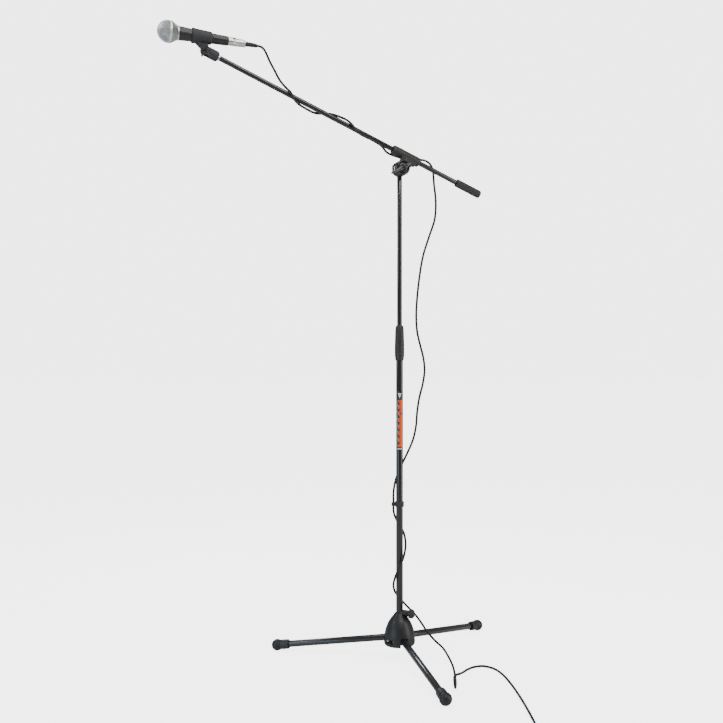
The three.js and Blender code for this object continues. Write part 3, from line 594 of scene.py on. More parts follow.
@dataclass(frozen=True)
class LabelFinish(Finish):
    """A printed film: plain blocks and a tick on an orange field, with no lettering."""

    orange: Colour = (0.72, 0.085, 0.006)
    white: Colour = (0.62, 0.62, 0.6)

    def made(self) -> bpy.types.Material:
        """Lay the print on the film's UV map: across from its left edge, up from its foot."""
        board = NodeBoard(self.name)
        shader = board.shader
        split = board.nodes.new("ShaderNodeSeparateXYZ")
        board.wire(board.mapped((1, 1, 1), uv=True), split.inputs[0])
        across, up = split.outputs[0], split.outputs[1]

        def between(value: Socket, low: float, high: float) -> Socket:
            """1 where a value lies between two others."""
            above = board.maths("GREATER_THAN", value, low)
            return board.maths("MULTIPLY", above, board.maths("LESS_THAN", value, high))

        def blocks(pitch: float, share: float, shift: float) -> Socket:
            """1 on evenly spaced blocks up the film."""
            phase = board.maths("FRACT", board.maths("ADD", board.maths("MULTIPLY", up, pitch), shift))
            return board.maths("LESS_THAN", phase, share)

        field_area = board.maths("MULTIPLY", between(across, 0.20, 0.87), between(up, 0.045, 0.84))
        colour = board.blended(field_area, self.colour, self.orange)
        dark = board.maths("MULTIPLY", between(across, 0.25, 0.47), blocks(9, 0.42, 0.2))
        dark = board.maths("MULTIPLY", dark, between(up, 0.07, 0.82))
        colour = board.blended(dark, colour, (0.02, 0.012, 0.01))
        inset = board.maths("MULTIPLY", between(across, 0.60, 0.76), between(up, 0.585, 0.645))
        colour = board.blended(inset, colour, (0.05, 0.06, 0.06))
        pale = board.maths("MULTIPLY", between(across, 0.08, 0.18), blocks(9, 0.5, 0.45))
        pale = board.maths("MULTIPLY", pale, between(up, 0.12, 0.79))
        colour = board.blended(board.maths("MULTIPLY", pale, 0.55), colour, self.white)
        foot = board.maths("MULTIPLY", between(across, 0.12, 0.86), between(up, 0.008, 0.026))
        colour = board.blended(foot, colour, self.white)
        tick_foot, tick_top = 0.865, 0.955
        slant = board.maths("ABSOLUTE", board.maths("SUBTRACT", across, 0.5))
        widening = board.maths("MULTIPLY", board.maths("SUBTRACT", up, tick_foot), 2.6)
        tick = board.maths("LESS_THAN", slant, widening)
        tick = board.maths("MULTIPLY", tick, between(up, tick_foot, tick_top))
        colour = board.blended(tick, colour, (0.75, 0.74, 0.72))
        rubbed = board.noise(board.mapped((1, 1, 0.3)), 420, 6)
        worn = board.maths("MULTIPLY", board.maths("GREATER_THAN", rubbed, 0.66), 0.5)
        board.wire(board.blended(worn, colour, self.colour), shader.inputs["Base Color"])
        fine = board.noise(board.mapped((1, 1, 1)), 900)
        board.wire(board.spread(fine, *self.roughness), shader.inputs["Roughness"])
        board.relief(board.noise(board.mapped((1, 1, 1)), 700), self.relief, 0.05)
        return board.material


GLOSS_PAINT = Finish(
    "gloss_black_paint", (0.0055, 0.0058, 0.0068), (0.0075, 0.0078, 0.0088), (0.2, 0.24), coat=0.3, grain=420,
    relief=0.004, scuffs=0.005,
)
# The legs' dark gloss paint is made lighter and bluer than the mast's. That tint is painted cool light from
# the left lamps, set into the paint's colour.
LEG_PAINT_WITH_PAINTED_BLUE_LIGHT = Finish(
    "gloss_leg_paint_painted_blue_light", (0.0085, 0.0105, 0.0145), (0.011, 0.0135, 0.018), (0.2, 0.25), coat=0.35, grain=420,
    relief=0.004, scuffs=0.005,
)
CAST_PAINT = Finish(
    "satin_black_casting", (
        0.0052, 0.0056, 0.0062
    ), (0.0066, 0.007, 0.0076), (0.42, 0.5), coat=0.05, grain=1300,
    relief=0.06, scuffs=0.01,
)
CLUTCH_PAINT = Finish(
    "clutch_black_paint", (
        0.0042, 0.0048, 0.0058
    ), (0.0056, 0.0062, 0.0072), (0.26, 0.32), coat=0.25, grain=1300,
    relief=0.008, scuffs=0.005,
)
WARM_PLASTIC = Finish(
    "warm_grey_plastic", (
        0.0185, 0.0172, 0.0148
    ), (0.0225, 0.021, 0.0182), (0.42, 0.5), grain=1900, relief=0.02,
    scuffs=0.006,
)
LEVER_PLASTIC = Finish(
    "lever_grey_plastic", (0.034, 0.036, 0.032), (0.04, 0.042, 0.038), (0.34, 0.42), grain=1900, relief=0.05,
    scuffs=0.015,
)
BLACK_PLASTIC = Finish(
    "black_plastic", (0.0044, 0.0044, 0.0046), (0.0058, 0.0058, 0.006), (0.38, 0.46), grain=1700, relief=0.02,
    scuffs=0.004,
)
FOOT_RUBBER = Finish(
    "foot_rubber", (
        0.0055, 0.0058, 0.006
    ), (0.008, 0.0082, 0.0084), (0.42, 0.55), grain=1100, relief=0.1, scuffs=0.02,
)
SLEEVE_RUBBER = Finish(
    "foot_sleeve_rubber", (
        0.015, 0.0165, 0.0185
    ), (0.019, 0.0205, 0.0225), (0.42, 0.52), grain=1300, relief=0.09,
    scuffs=0.02,
)
NICKEL = Finish(
    "satin_nickel", (0.66, 0.645, 0.61), (0.74, 0.725, 0.69),
    (0.26, 0.3), metallic=1, grain=1600, relief=0.004,
    drift=60,
)
ZINC = Finish(
    "zinc_plate", (0.42, 0.42, 0.42), (0.5, 0.5, 0.48),
    (0.28, 0.4), metallic=1, grain=1500, drift=90, relief=0.05,
)
BLACK_OXIDE = Finish(
    "black_oxide_steel", (0.012, 0.012, 0.013), (0.02, 0.02, 0.021),
    (0.3, 0.4), metallic=0.6, grain=1500, drift=90,
    relief=0.05,
)
BRASS = Finish(
    "plain_brass", (0.52, 0.37, 0.15), (0.62, 0.47, 0.22),
    (0.24, 0.4), metallic=1, grain=1500, drift=80, relief=0.05,
)
MESH_WIRE = Finish(
    "grille_wire", (0.74, 0.75, 0.76), (0.82, 0.83, 0.84), (0.36, 0.46), metallic=0.75, grain=2200, drift=120,
    relief=0.04,
)
MESH_WIRE_DARK = Finish(
    "grille_wire_rear", (0.42, 0.41, 0.39), (0.52, 0.51, 0.49),
    (0.36, 0.48), metallic=0.75, grain=2200, drift=120,
    relief=0.04,
)
GRILLE_BAND = Finish(
    "grille_band_plate", (0.72, 0.72, 0.71), (0.8, 0.8, 0.79), (0.3, 0.4), metallic=0.8, grain=1600, drift=90,
    relief=0.02,
)
GRILLE_FOAM = Finish(
    "grille_foam", (0.16, 0.162, 0.168), (0.24, 0.242, 0.25),
    (0.85, 0.95), grain=2600, drift=1400, relief=0.4,
)
HANDLE_ENAMEL = Finish(
    "handle_enamel", (
        0.0105, 0.0115, 0.0105
    ), (0.0135, 0.0145, 0.0132), (0.38, 0.44), grain=1500, relief=0.015,
    coat=0.05, scuffs=0.004,
)
JACKET = JacketFinish(
    "cable_jacket", (0.0085, 0.0085, 0.009), (0.012, 0.012, 0.0125), (0.36, 0.46), relief=0.12
)
LABEL = LabelFinish(
    "mast_label_print", (0.008, 0.0082, 0.009), (0.012, 0.012, 0.012), (0.3, 0.4), relief=0.02
)


def fit(
    piece: Piece, body: str, finish: Finish, stands_for: Sequence[str] = (), angle: float = 32
) -> Piece:
    """Dress a piece and hang it on its body.

    Args:
        piece: The finished mesh, in the row frame.
        body: The body that it rides on.
        finish: Its surface.
        stands_for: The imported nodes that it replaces.
        angle: Edges sharper than this, in degrees, stay crisp.

    Returns:
        The same piece.
    """
    Bench.smooth(piece, angle)
    piece.data.materials.clear()
    piece.data.materials.append(finish.material())
    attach(piece, body)
    if stands_for:
        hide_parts(*stands_for)
    LOG.info("%s rides on %s, %d faces", piece.name, body, len(piece.data.polygons))
    return piece


def dress(node: str, finish: Finish) -> None:
    """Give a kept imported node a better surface."""
    piece = frame["nodes"][node]
    piece.data.materials.clear()
    piece.data.materials.append(finish.material())


# ---------------------------------------------------------------- camera, floor and light


@dataclass(frozen=True)
class Lamp:
    """A soft rectangular lamp.

    Attributes:
        name: The lamp's name.
        place: Where it hangs, from the foot of the mast.
        target: The point it faces.
        wide: Its width.
        tall: Its height.
        power: Its strength in watts.
        tint: Its colour.
    """

    name: str
    place: Point
    target: Point
    wide: float
    tall: float
    power: float
    tint: Colour = (1.0, 1.0, 1.0)


@dataclass
class Studio:
    """The camera, a pale floor and soft lamps.

    Attributes:
        layout: Where the stand's parts are.
        eye: The camera's place from the foot of the mast.
        lens: Its focal length.
        shift: Its sideways and upward shift.
        floor_glow: How much brighter the camera sees the floor than the lamps leave it.
        sky_seen: How bright the camera sees what is behind the stand.
        sky_felt: How much light comes from all around.
    """

    layout: Layout
    eye: Point = (0, -2308, 764.3)
    lens: float = 44.7
    shift: tuple[float, float] = (-0.0526, 0.0)
    floor_glow: float = 3.9
    sky_seen: float = 5.1
    sky_felt: float = 0.42

    LAMPS = (
        Lamp("lamp_right", (2000, -700, 950), (0, 0, 900), 700, 2300, 26, (1.0, 0.985, 0.96)),
        Lamp("lamp_left_high", (-1900, -500, 1700), (-300, 0, 1450), 800, 800, 11, (0.8, 0.9, 1.0)),
        Lamp("lamp_left_low", (-1700, -1500, 500), (0, 0, 100), 1500, 800, 12, (0.72, 0.86, 1.0)),
        Lamp("lamp_top", (-100, -500, 2800), (0, 0, 900), 1300, 900, 14),
        Lamp("lamp_boom", (720, -1500, 2450), (150, 0, 1330), 1500, 420, 24, (1.0, 1.0, 0.98)),
        Lamp("lamp_behind", (-900, 1500, 1500), (250, -300, 30), 420, 420, 9, (0.88, 0.94, 1.0)),
    )

    def build(self) -> None:
        """Set up everything that is not the stand."""
        self.camera()
        self.floor()
        self.sky()
        for lamp in self.LAMPS:
            self.hang(lamp)

    def camera(self) -> None:
        """Place the camera in front of the mast, level."""
        data = bpy.data.cameras.new("viewpoint")
        data.lens = self.lens
        data.sensor_width = 36
        data.shift_x, data.shift_y = self.shift
        camera = bpy.data.objects.new("viewpoint", data)
        bpy.context.scene.collection.objects.link(camera)
        camera.location = self.layout.mast_point + Vector(self.eye) * MM
        camera.rotation_euler = (math.radians(90), 0, 0)
        bpy.context.scene.camera = camera

    def hang(self, lamp: Lamp) -> None:
        """Hang one soft lamp."""
        data = bpy.data.lights.new(lamp.name, "AREA")
        data.shape = "RECTANGLE"
        data.size = lamp.wide * MM
        data.size_y = lamp.tall * MM
        data.energy = lamp.power
        data.color = lamp.tint
        light = bpy.data.objects.new(lamp.name, data)
        bpy.context.scene.collection.objects.link(light)
        light.location = self.layout.mast_point + Vector(lamp.place) * MM
        facing = (Vector(lamp.target) - Vector(lamp.place)).normalized()
        light.rotation_euler = facing.to_track_quat("-Z", "Y").to_euler()

    def floor(self) -> None:
        """Lay a pale floor that fades into the surroundings."""
        Bench.clear()
        bpy.ops.mesh.primitive_plane_add(size=60, location=(0, 0, -0.0002))
        floor = Bench.named("floor")
        board = NodeBoard("pale_floor")
        tone = board.noise(board.mapped((1, 1, 1)), 3, 3)
        pale = board.ramp(tone, [(0.3, (0.86, 0.86, 0.86)), (0.7, (0.88, 0.88, 0.88))])
        board.wire(pale, board.shader.inputs["Base Color"])
        board.shader.inputs["Roughness"].default_value = 0.9
        board.shader.inputs["Specular IOR Level"].default_value = 0.1
        glow = board.nodes.new("ShaderNodeEmission")
        glow.inputs["Strength"].default_value = self.floor_glow
        rays = board.nodes.new("ShaderNodeLightPath")
        total = board.nodes.new("ShaderNodeAddShader")
        seen = board.nodes.new("ShaderNodeMixShader")
        output = next(node for node in board.nodes if node.type == "OUTPUT_MATERIAL")
        board.wire(board.shader.outputs[0], total.inputs[0])
        board.wire(glow.outputs[0], total.inputs[1])
        board.wire(rays.outputs["Is Camera Ray"], seen.inputs[0])
        board.wire(board.shader.outputs[0], seen.inputs[1])
        board.wire(total.outputs[0], seen.inputs[2])
        board.wire(seen.outputs[0], output.inputs["Surface"])
        floor.data.materials.append(board.material)

    def sky(self) -> None:
        """Surround the stand with even white, dimmer on the stand than behind it."""
        world = bpy.data.worlds.new("studio_white")
        bpy.context.scene.world = world
        world.use_nodes = True
        nodes, links = world.node_tree.nodes, world.node_tree.links
        nodes.clear()
        output = nodes.new("ShaderNodeOutputWorld")
        behind = nodes.new("ShaderNodeBackground")
        behind.inputs["Strength"].default_value = self.sky_seen
        around = nodes.new("ShaderNodeBackground")
        around.inputs["Strength"].default_value = self.sky_felt
        rays = nodes.new("ShaderNodeLightPath")
        mixed = nodes.new("ShaderNodeMixShader")
        links.new(rays.outputs["Is Camera Ray"], mixed.inputs[0])
        links.new(around.outputs[0], mixed.inputs[1])
        links.new(behind.outputs[0], mixed.inputs[2])
        links.new(mixed.outputs[0], output.inputs["Surface"])


# ---------------------------------------------------------------- cable


class Bend(Enum):
    """Whether a stretch of cable rides on one body, or spans two and is left unhung."""

    RIDES = 1
    BLENDS = 2


@dataclass
class Stretch:
    """A stretch of the cable between two lengths from the microphone's connector."""

    name: str
    start: float
    end: float
    bodies: tuple[str, ...]
    stands_for: tuple[str, ...] = ()

    @property
    def bend(self) -> Bend:
        """Whether it rides on one body or spans two and is left unhung."""
        return Bend.RIDES if len(self.bodies) == 1 else Bend.BLENDS


@dataclass
class Cable:
    """The cable from the microphone to its far plug, which lies on the floor beside the coil.

    Attributes:
        layout: Where the stand's parts are.
        radius: The jacket's radius.
        sides: Vertices around the jacket.
        pitch: From one ring of vertices to the next.
        coil_steps: Places along each turn of the coil.
        line: The whole route, evenly spaced, once drawn.
        lengths: The length along it at each place.
    """

    layout: Layout
    radius: float = 3.0
    sides: int = 14
    pitch: float = 2.6
    coil_steps: int = 24
    line: list[Vector] = field(default_factory=list)
    lengths: list[float] = field(default_factory=list)

    LEAD = (
        (
            -343.0, -149.4, 1523.3
        ), (-338.4, -147.5, 1523.1), (-333.5, -145.6, 1522.1), (-328.8, -143.8, 1519.1),
        (
            -325.3, -142.5, 1514.6
        ), (-320.3, -141.2, 1504.8), (-315.8, -140.0, 1494.0), (-302.5, -137.3, 1468.5),
        (-288.8, -134.6, 1443.6), (-275.2, -131.0, 1428.0),
    )
    BOOM = (
        (
            -263.7, -128.7, 1417.3
        ), (-257.5, -124.5, 1404.0), (-247.5, -113.8, 1394.1), (-231.8, -103.5, 1386.3),
        (-215.8, -92.0, 1380.2), (-202.9, -82.0, 1379.1), (-188.5, -75.5, 1380.9), (-170.1, -72.7, 1380.3),
        (-149.1, -70.7, 1374.3), (-130.2, -69.4, 1365.5), (-116.8, -69.4, 1353.4), (-108.9, -65.1, 1340.8),
        (-93.9, -57.4, 1331.7), (-69.4, -48.1, 1321.9), (-46.4, -37.1, 1310.0), (-33.4, -18.4, 1298.5),
    )
    CLAMP = (
        (-18.2, -2.2, 1294.2), (8.5, 11.3, 1289.0), (32.5, 20.5, 1288.2), (51.0, 25.6, 1288.6),
        (64.5, 29.6, 1287.8), (76.0, 33.6, 1282.6), (83.8, 36.4, 1273.2), (87.2, 37.6, 1261.3),
    )
    DROP = (
        (88.6, 37.4, 1247.0), (90.2, 35.5, 1225.0), (93.6, 34.5, 1195.0), (94.6, 34.0, 1167.0),
        (91.0, 33.0, 1132.0), (77.2, 32.0, 1090.2), (61.0, 30.0, 1037.8), (51.0, 28.0, 977.7),
        (45.3, 27.0, 923.0), (43.4, 26.0, 883.9), (45.6, 25.0, 843.3),
        (53.2, 24.0, 808.5), (61.6, 23.0, 774.7),
        (65.0, 22.0, 742.5), (60.2, 21.0, 706.0), (51.2, 20.0, 670.0),
        (45.6, 19.0, 632.1), (42.8, 18.0, 598.0),
        (34.6, 17.3, 561.0), (18.6, 16.5, 524.0), (2.0, 14.2, 490.1),
        (-10.4, 10.0, 457.3), (-15.6, 2.8, 426.0),
    )
    MAST = (
        (-15.4, 0.0, 398.0), (-15.8, 2.8, 384.0), (-12.4, 9.8, 366.0),
        (-2.0, 15.4, 344.6), (11.2, 11.0, 321.0),
        (15.6, -1.0, 294.1), (11.2, -11.0, 266.5), (0.6, -15.6, 240.7), (-11.0, -11.0, 212.8),
        (-15.6, 0.6, 188.1), (-10.8, 11.2, 168.1), (1.3, 15.8, 151.4),
        (13.6, 15.0, 137.6), (27.0, 11.6, 124.6),
        (43.0, 7.4, 108.6), (56.7, 6.0, 90.0), (71.0, 6.0, 68.5), (89.8, 2.0, 47.6), (110.5, -8.0, 31.0),
        (123.4, -32.0, 17.0),
    )
    FLOOR = (
        (130.4, -56.0, 8.6), (133.6, -80.0, 4.4), (134.4, -108.0, 3.5), (134.2, -150.0, 3.4),
        (133.0, -184.0, 3.4), (131.4, -204.0, 3.4), (130.7, -212.0, 3.5), (129.8, -218.6, 5.1),
        (128.8, -223.4, 9.9), (127.9, -225.2, 16.4), (127.2, -223.4, 22.9), (127.4, -218.6, 27.7),
        (128.8, -211.5, 29.6), (134.6, -196.0, 27.6), (145.0, -166.0, 19.6), (156.0, -130.0, 11.6),
        (169.0, -96.0, 6.2), (186.0, -73.0, 3.7), (208.3, -64.9, 3.3), (232.6, -82.1, 3.3),
        (249.7, -121.8, 3.3), (262.7, -186.3, 3.3), (272.7, -263.7, 3.3), (279.6, -339.1, 3.3),
        (284.3, -410.2, 3.4), (285.5, -450.0, 4.4), (285.5, -480.0, 4.7),
    )
    # Distance of each turn from the coil's axis and its height, in the order that they are wound.
    TURNS = (
        (36.0, 4.7), (29.8, 4.7), (29.8, 10.9), (29.8, 17.1),
        (36.0, 17.1), (42.2, 17.1), (42.2, 10.9), (42.2, 4.7),
    )

    def coiled(self) -> list[Vector]:
        """Places along the coil's turns and on to the far plug."""
        places = []
        for index, (radius, height) in enumerate(self.TURNS):
            next_radius, next_height = self.TURNS[min(index + 1, len(self.TURNS) - 1)]
            last = index == len(self.TURNS) - 1
            for step in range(self.coil_steps * 5 // 4 if last else self.coil_steps):
                done = step / self.coil_steps
                turn = math.pi + 2 * math.pi * done
                shift = 0.0 if last else max(0.0, (done - 0.8) / 0.2)
                ease = shift * shift * (3 - 2 * shift)
                reach = radius + (next_radius - radius) * ease
                places.append(Vector((
                    COIL_MIDDLE[0] + reach * math.cos(turn),
                    COIL_MIDDLE[1] + reach * math.sin(turn),
                    height + (next_height - height) * ease,
                )))
        x, y = COIL_MIDDLE
        for ahead, height in ((12, 5.4), (30, 7.6), (50.2, 10.2)):
            places.append(Vector((x + ahead, y - 42.5, height)))
        return places

    def draw(self) -> None:
        """Run one smooth line through the whole route and space it evenly."""
        parts = (self.LEAD, self.BOOM, self.CLAMP, self.DROP, self.MAST, self.FLOOR)
        route = smooth_line([Vector(place) for part in parts for place in part], 24)
        winding = smooth_line([route[-1], *self.coiled()[1:]], 5)
        rough = [place + self.layout.mast_point / MM for place in [*route, *winding[1:]]]
        self.line = [rough[0]]
        for start, end in zip(rough, rough[1:]):
            while (end - self.line[-1]).length > self.pitch:
                self.line.append(self.line[-1] + (end - self.line[-1]).normalized() * self.pitch)
        self.lengths = [index * self.pitch for index in range(len(self.line))]

    def length_at(self, place: Point) -> float:
        """The length along the line at the nearest place to a point of the route."""
        target = Vector(place) + self.layout.mast_point / MM
        nearest = min(range(len(self.line)), key=lambda index: (self.line[index] - target).length)
        return self.lengths[nearest]

    def tube(self, name: str, path: Sequence[Vector], start: float) -> Piece:
        """Sweep a round jacket along a path, with a UV map that runs once around and along in metres.

        Args:
            name: The piece's name.
            path: Ring centres, in millimetres.
            start: The path's own start along the cable, in millimetres.

        Returns:
            The closed tube.
        """
        side = (path[1] - path[0]).orthogonal().normalized()
        vertices: list[Vector] = []
        for index, centre in enumerate(path):
            ahead = (path[min(index + 1, len(path) - 1)] - path[max(index - 1, 0)]).normalized()
            side = (side - ahead * side.dot(ahead)).normalized()
            across = ahead.cross(side)
            for k in range(self.sides):
                turn = 2 * math.pi * k / self.sides
                rim = (side * math.cos(turn) + across * math.sin(turn)) * self.radius
                vertices.append((centre + rim) * MM)
        faces = []
        around = []
        for ring in range(len(path) - 1):
            for k in range(self.sides):
                n = (k + 1) % self.sides
                base, above = ring * self.sides, (ring + 1) * self.sides
                faces.append((base + k, base + n, above + n, above + k))
                low, high = (start + ring * self.pitch) * MM, (start + (ring + 1) * self.pitch) * MM
                around += [(k / self.sides, low), ((k + 1) / self.sides, low)]
                around += [((k + 1) / self.sides, high), (k / self.sides, high)]
        faces.append(tuple(reversed(range(self.sides))))
        faces.append(tuple(range((len(path) - 1) * self.sides, len(path) * self.sides)))
        around += [(0.5, 0.0)] * (2 * self.sides)
        mesh = bpy.data.meshes.new(name)
        mesh.from_pydata(vertices, [], faces)
        layer = mesh.uv_layers.new(name="around_and_along")
        for loop, place in zip(layer.data, around):
            loop.uv = place
        piece = bpy.data.objects.new(name, mesh)
        bpy.context.scene.collection.objects.link(piece)
        return piece

    def build(self, on_far_end: Sequence[Piece | str]) -> None:
        """Args:
            on_far_end: The far plug's pieces and the coil's tie. Not used.
        """
        # Where one body hands the cable over to the next, as lengths from the connector.
        whole = self.lengths[-1]
        boom = self.length_at(self.BOOM[0])
        clamp = self.length_at(self.CLAMP[0])
        drop = self.length_at(self.DROP[0])
        clip = self.length_at(self.MAST[0])
        stretches = [
            Stretch("lead_at_connector", 0, 48, ("cable_connector", "mic"), ("cable_lead",)),
            Stretch("lead_hanging", 48, 98, ("mic", "clip_barrel")),
            Stretch("lead_to_boom", 98, boom, ("clip_barrel", "boom")),
            Stretch("cable_round_boom", boom, clamp - 190, ("boom",), ("cable_boom_run",)),
            Stretch("cable_before_clamp", clamp - 190, clamp - 32, ("boom", "boom_liner")),
            Stretch("cable_into_clamp", clamp - 32, clamp + 12, ("boom_liner", "boom_clamp")),
            Stretch(
                "cable_clamp_bow",
                clamp + 12,
                drop + 6,
                ("boom_clamp", "upper_mast"),
                ("cable_clamp_loop",),
            ),
            Stretch("cable_below_clamp", drop + 6, drop + 66, ("upper_mast", "mast_glide")),
            Stretch("cable_hanging", drop + 66, clip - 8, ("mast_glide", "lower_mast"), ("cable_drop",)),
            Stretch("cable_at_mast_clip", clip - 8, clip + 110, ("lower_mast", "base"), ("cable_mast_wrap",)),
            Stretch(
                "cable_to_far_plug",
                clip + 110,
                whole,
                ("base",),
                ("cable_floor_run", "cable_coil", "cable_tail"),
            ),
        ]
        for stretch in stretches:
            self.lay(stretch)

    def lay(self, stretch: Stretch) -> None:
        first = round(stretch.start / self.pitch)
        last = min(round(stretch.end / self.pitch), len(self.line) - 1)
        path = self.line[first : last + 1]
        piece = self.tube(stretch.name, path, first * self.pitch)
        Bench.hold(piece)
        bpy.ops.object.shade_smooth()
        piece.data.materials.append(JACKET.material())
        if stretch.stands_for:
            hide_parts(*stretch.stands_for)
        if stretch.bend is Bend.RIDES:
            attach(piece, stretch.bodies[0])
        else:
            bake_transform(piece)
        LOG.info("%s: %.0f mm on %s", stretch.name, (last - first) * self.pitch, "/".join(stretch.bodies))


# ---------------------------------------------------------------- base


SIDES = ("front", "right", "left")


@dataclass
class Base:
    """The bell-shaped hub with its three folding legs and the mast's clamp knob."""

    layout: Layout
    bell: Profile = (
        (35.2, 38.0), (37.4, 38.5), (39.1, 40.4), (40.0, 44.0), (40.1, 52.0), (39.4, 62.0), (37.4, 73.0),
        (34.3, 83.0), (30.6, 92.0), (26.2, 100.0), (20.8, 107.5), (15.4, 114.0), (12.6, 117.8), (11.6, 119.4),
    )
    wall: float = 4.5
    slot_half: float = 9.1
    cheek: float = 4.5
    pin: tuple[float, float] = (25.7, -3.63)
    pin_bore: float = 3.3
    pin_recess: float = 5.5
    pin_half: float = 26.6
    lug_end: float = 28.0
    knob_radius: float = 12.3
    leg_radius: float = 8.5
    leg_wall: float = 1.2
    leg_length: float = 333.55

    def build(self) -> None:
        """Make every piece of the base."""
        self.shell()
        self.knob()
        for side in SIDES:
            self.leg(side)

    def leg_tool(self, piece: Piece, side: str) -> Piece:
        """Carry a piece drawn in a leg's frame to that leg."""
        return Bench.put(piece, self.layout.leg(side))

    def on_pin(self, piece: Piece) -> Piece:
        """Lay a piece drawn about Z along a leg's pin, in the leg's frame."""
        return Bench.put(piece, shifted(self.pin[0], 0, self.pin[1]) @ Turn.ALONG_Y.value)

    def cross_rod(self, name: str, radius: float, low: float, high: float) -> Piece:
        """A rod along a leg's pin, in the leg's frame."""
        return self.on_pin(Bench.turned(name, [(radius, low), (radius, high)], 40))

    def shell(self) -> None:
        """The bell, hollow between the legs' slots, with the clamp's lug and the mast's bore."""
        on_knob = self.layout.knob() @ Turn.ALONG_X.value
        ceiling = 88
        line = eased(self.bell, 3)
        shell = Bench.put(Bench.turned("hub_bell", [*line, (10.6, 120.0)], 96), self.layout.mast)
        end = self.lug_end
        lug = Bench.turned("lug", [(8, 4), (8, end - 1.4), (7.2, end - 0.3), (6.4, end)], 40)
        Bench.unite(shell, Bench.put(lug, on_knob))
        inner = [(radius - self.wall, height) for radius, height in line if height < ceiling]
        room = [(inner[0][0], 30), *inner[1:], (inner[-1][0], ceiling)]
        cavity = Bench.put(Bench.turned("cavity", room, 96), self.layout.mast)
        boss = Bench.put(Bench.turned("boss", [(15, 20), (15, 125)], 48), self.layout.mast)
        Bench.cut(cavity, boss)
        wide = self.slot_half + self.cheek
        for side in SIDES:
            Bench.cut(cavity, self.leg_tool(Bench.block("cheeks", (0, -wide, -60), (80, wide, 60)), side))
        Bench.cut(shell, cavity)
        for side in SIDES:
            slot = Bench.block("slot", (10, -self.slot_half, -60), (90, self.slot_half, 8.8))
            tools = [
                slot,
                self.cross_rod("pin_hole", self.pin_bore, -60, 60),
                self.cross_rod("recess", self.pin_recess, 26, 60),
                self.cross_rod("recess", self.pin_recess, -60, -26),
            ]
            for tool in tools:
                Bench.cut(shell, self.leg_tool(tool, side))
        Bench.cut(
            shell,
            Bench.put(Bench.turned("bore", [(9.3, 72), (9.3, 130)], 64), self.layout.mast),
            Bench.put(Bench.turned("through", [(6, 10), (6, 130)], 40), self.layout.mast),
            Bench.put(Bench.turned("screw_hole", [(3.3, 0.5), (3.3, 60)], 32), on_knob),
        )
        fit(shell, "base", CAST_PAINT, ("hub_housing",), 36)

    def knob(self) -> None:
        """The lobed knob that clamps the mast, over its screw."""
        start = self.lug_end + GAP
        flattened = 14 / 19.4
        ball = [(8.2, 0), (10.6, 0.5), (11.9, 1.8), *arc(7, self.knob_radius, 68, 20, 8), (2.2, 19.2)]
        profile = [(radius, start + height * flattened) for radius, height in ball]
        knob = Bench.turned("hub_knob_lobed", eased(profile, 2), 96)
        Bench.fluted(knob, 8, 0.09, start + 1, start + 12, 0.45)
        Bench.cut(knob, Bench.turned("screw_hole", [(3.3, start - 1), (3.3, start + 10)], 32))
        Bench.put(knob, self.layout.knob() @ Turn.ALONG_X.value)
        fit(knob, "hub_knob", BLACK_PLASTIC, ("hub_knob",), 40)
        dress("hub_clamp_screw", ZINC)

    def leg(self, side: str) -> None:
        """One leg: its pin, tube, and the rubber foot's sleeve and ball."""
        half = self.pin_half
        domed = [(1.4, half), (2.3, half - 0.3), (2.9, half - 1.2), (2.95, half - 2.6)]
        pin = Bench.turned("pin", [*((radius, -place) for radius, place in domed), *domed[::-1]], 32)
        self.on_pin(pin)
        pin.name = f"leg_{side}_rivet"
        fit(self.leg_tool(pin, side), "base", ZINC, (f"leg_pin_{side}",))
        dress(f"leg_knuckle_{side}", BLACK_PLASTIC)
        self.leg_tube(side)
        self.foot(side)

    def leg_tube(self, side: str) -> None:
        """A leg's steel tube."""
        outer, inner = self.leg_radius, self.leg_radius - self.leg_wall
        first, last = 36.5, self.leg_length - 9
        wall = [(outer, first), (outer, last), (inner, last), (inner, first)]
        tube = Bench.soften(Bench.turned(f"leg_{side}_tube", wall, 72, hollow=True), 0.25)
        Bench.put(tube, self.layout.leg(side) @ Turn.ALONG_X.value)
        fit(tube, f"leg_{side}", LEG_PAINT_WITH_PAINTED_BLUE_LIGHT, (f"leg_tube_{side}",))

    def foot(self, side: str) -> None:
        """A leg's rubber foot: the sleeve over the tube and the ball, flat where it stands."""
        lying = self.layout.leg(side) @ Turn.ALONG_X.value
        end = self.leg_length
        mouth = end - 33
        bore = self.leg_radius + GAP
        rises = [(11.2, 0), (11.9, 0.9), (12.3, 3), (12.5, 11), (12.55, 18), (12.2, 21.4)]
        outside = eased([(radius, mouth + rise) for radius, rise in rises], 3)
        wall = [*outside, (bore, mouth + 21.6), (bore, mouth)]
        sleeve = Bench.put(Bench.turned(f"leg_{side}_foot_sleeve", wall, 72, hollow=True), lying)
        fit(sleeve, f"leg_{side}", SLEEVE_RUBBER)
        neck = [(9, mouth + 21.9), (11.5, mouth + 22.0), (12.2, mouth + 22.8)]
        dome = arc(end, self.layout.foot_ball, 126, 4, 26)
        ball = Bench.turned(f"leg_{side}_foot_ball", [*neck, *dome], 72)
        hollow = Bench.turned("tube_socket", [(bore, mouth + 10), (bore, end - 8.7)], 48)
        Bench.put(Bench.cut(ball, hollow), lying)
        below = Bench.block("floor_flat", (-400, -400, -40), (400, 400, 0))
        Bench.cut(ball, Bench.put(below, self.layout.mast))
        fit(ball, f"leg_{side}", FOOT_RUBBER, (f"leg_foot_{side}",))


# ---------------------------------------------------------------- mast


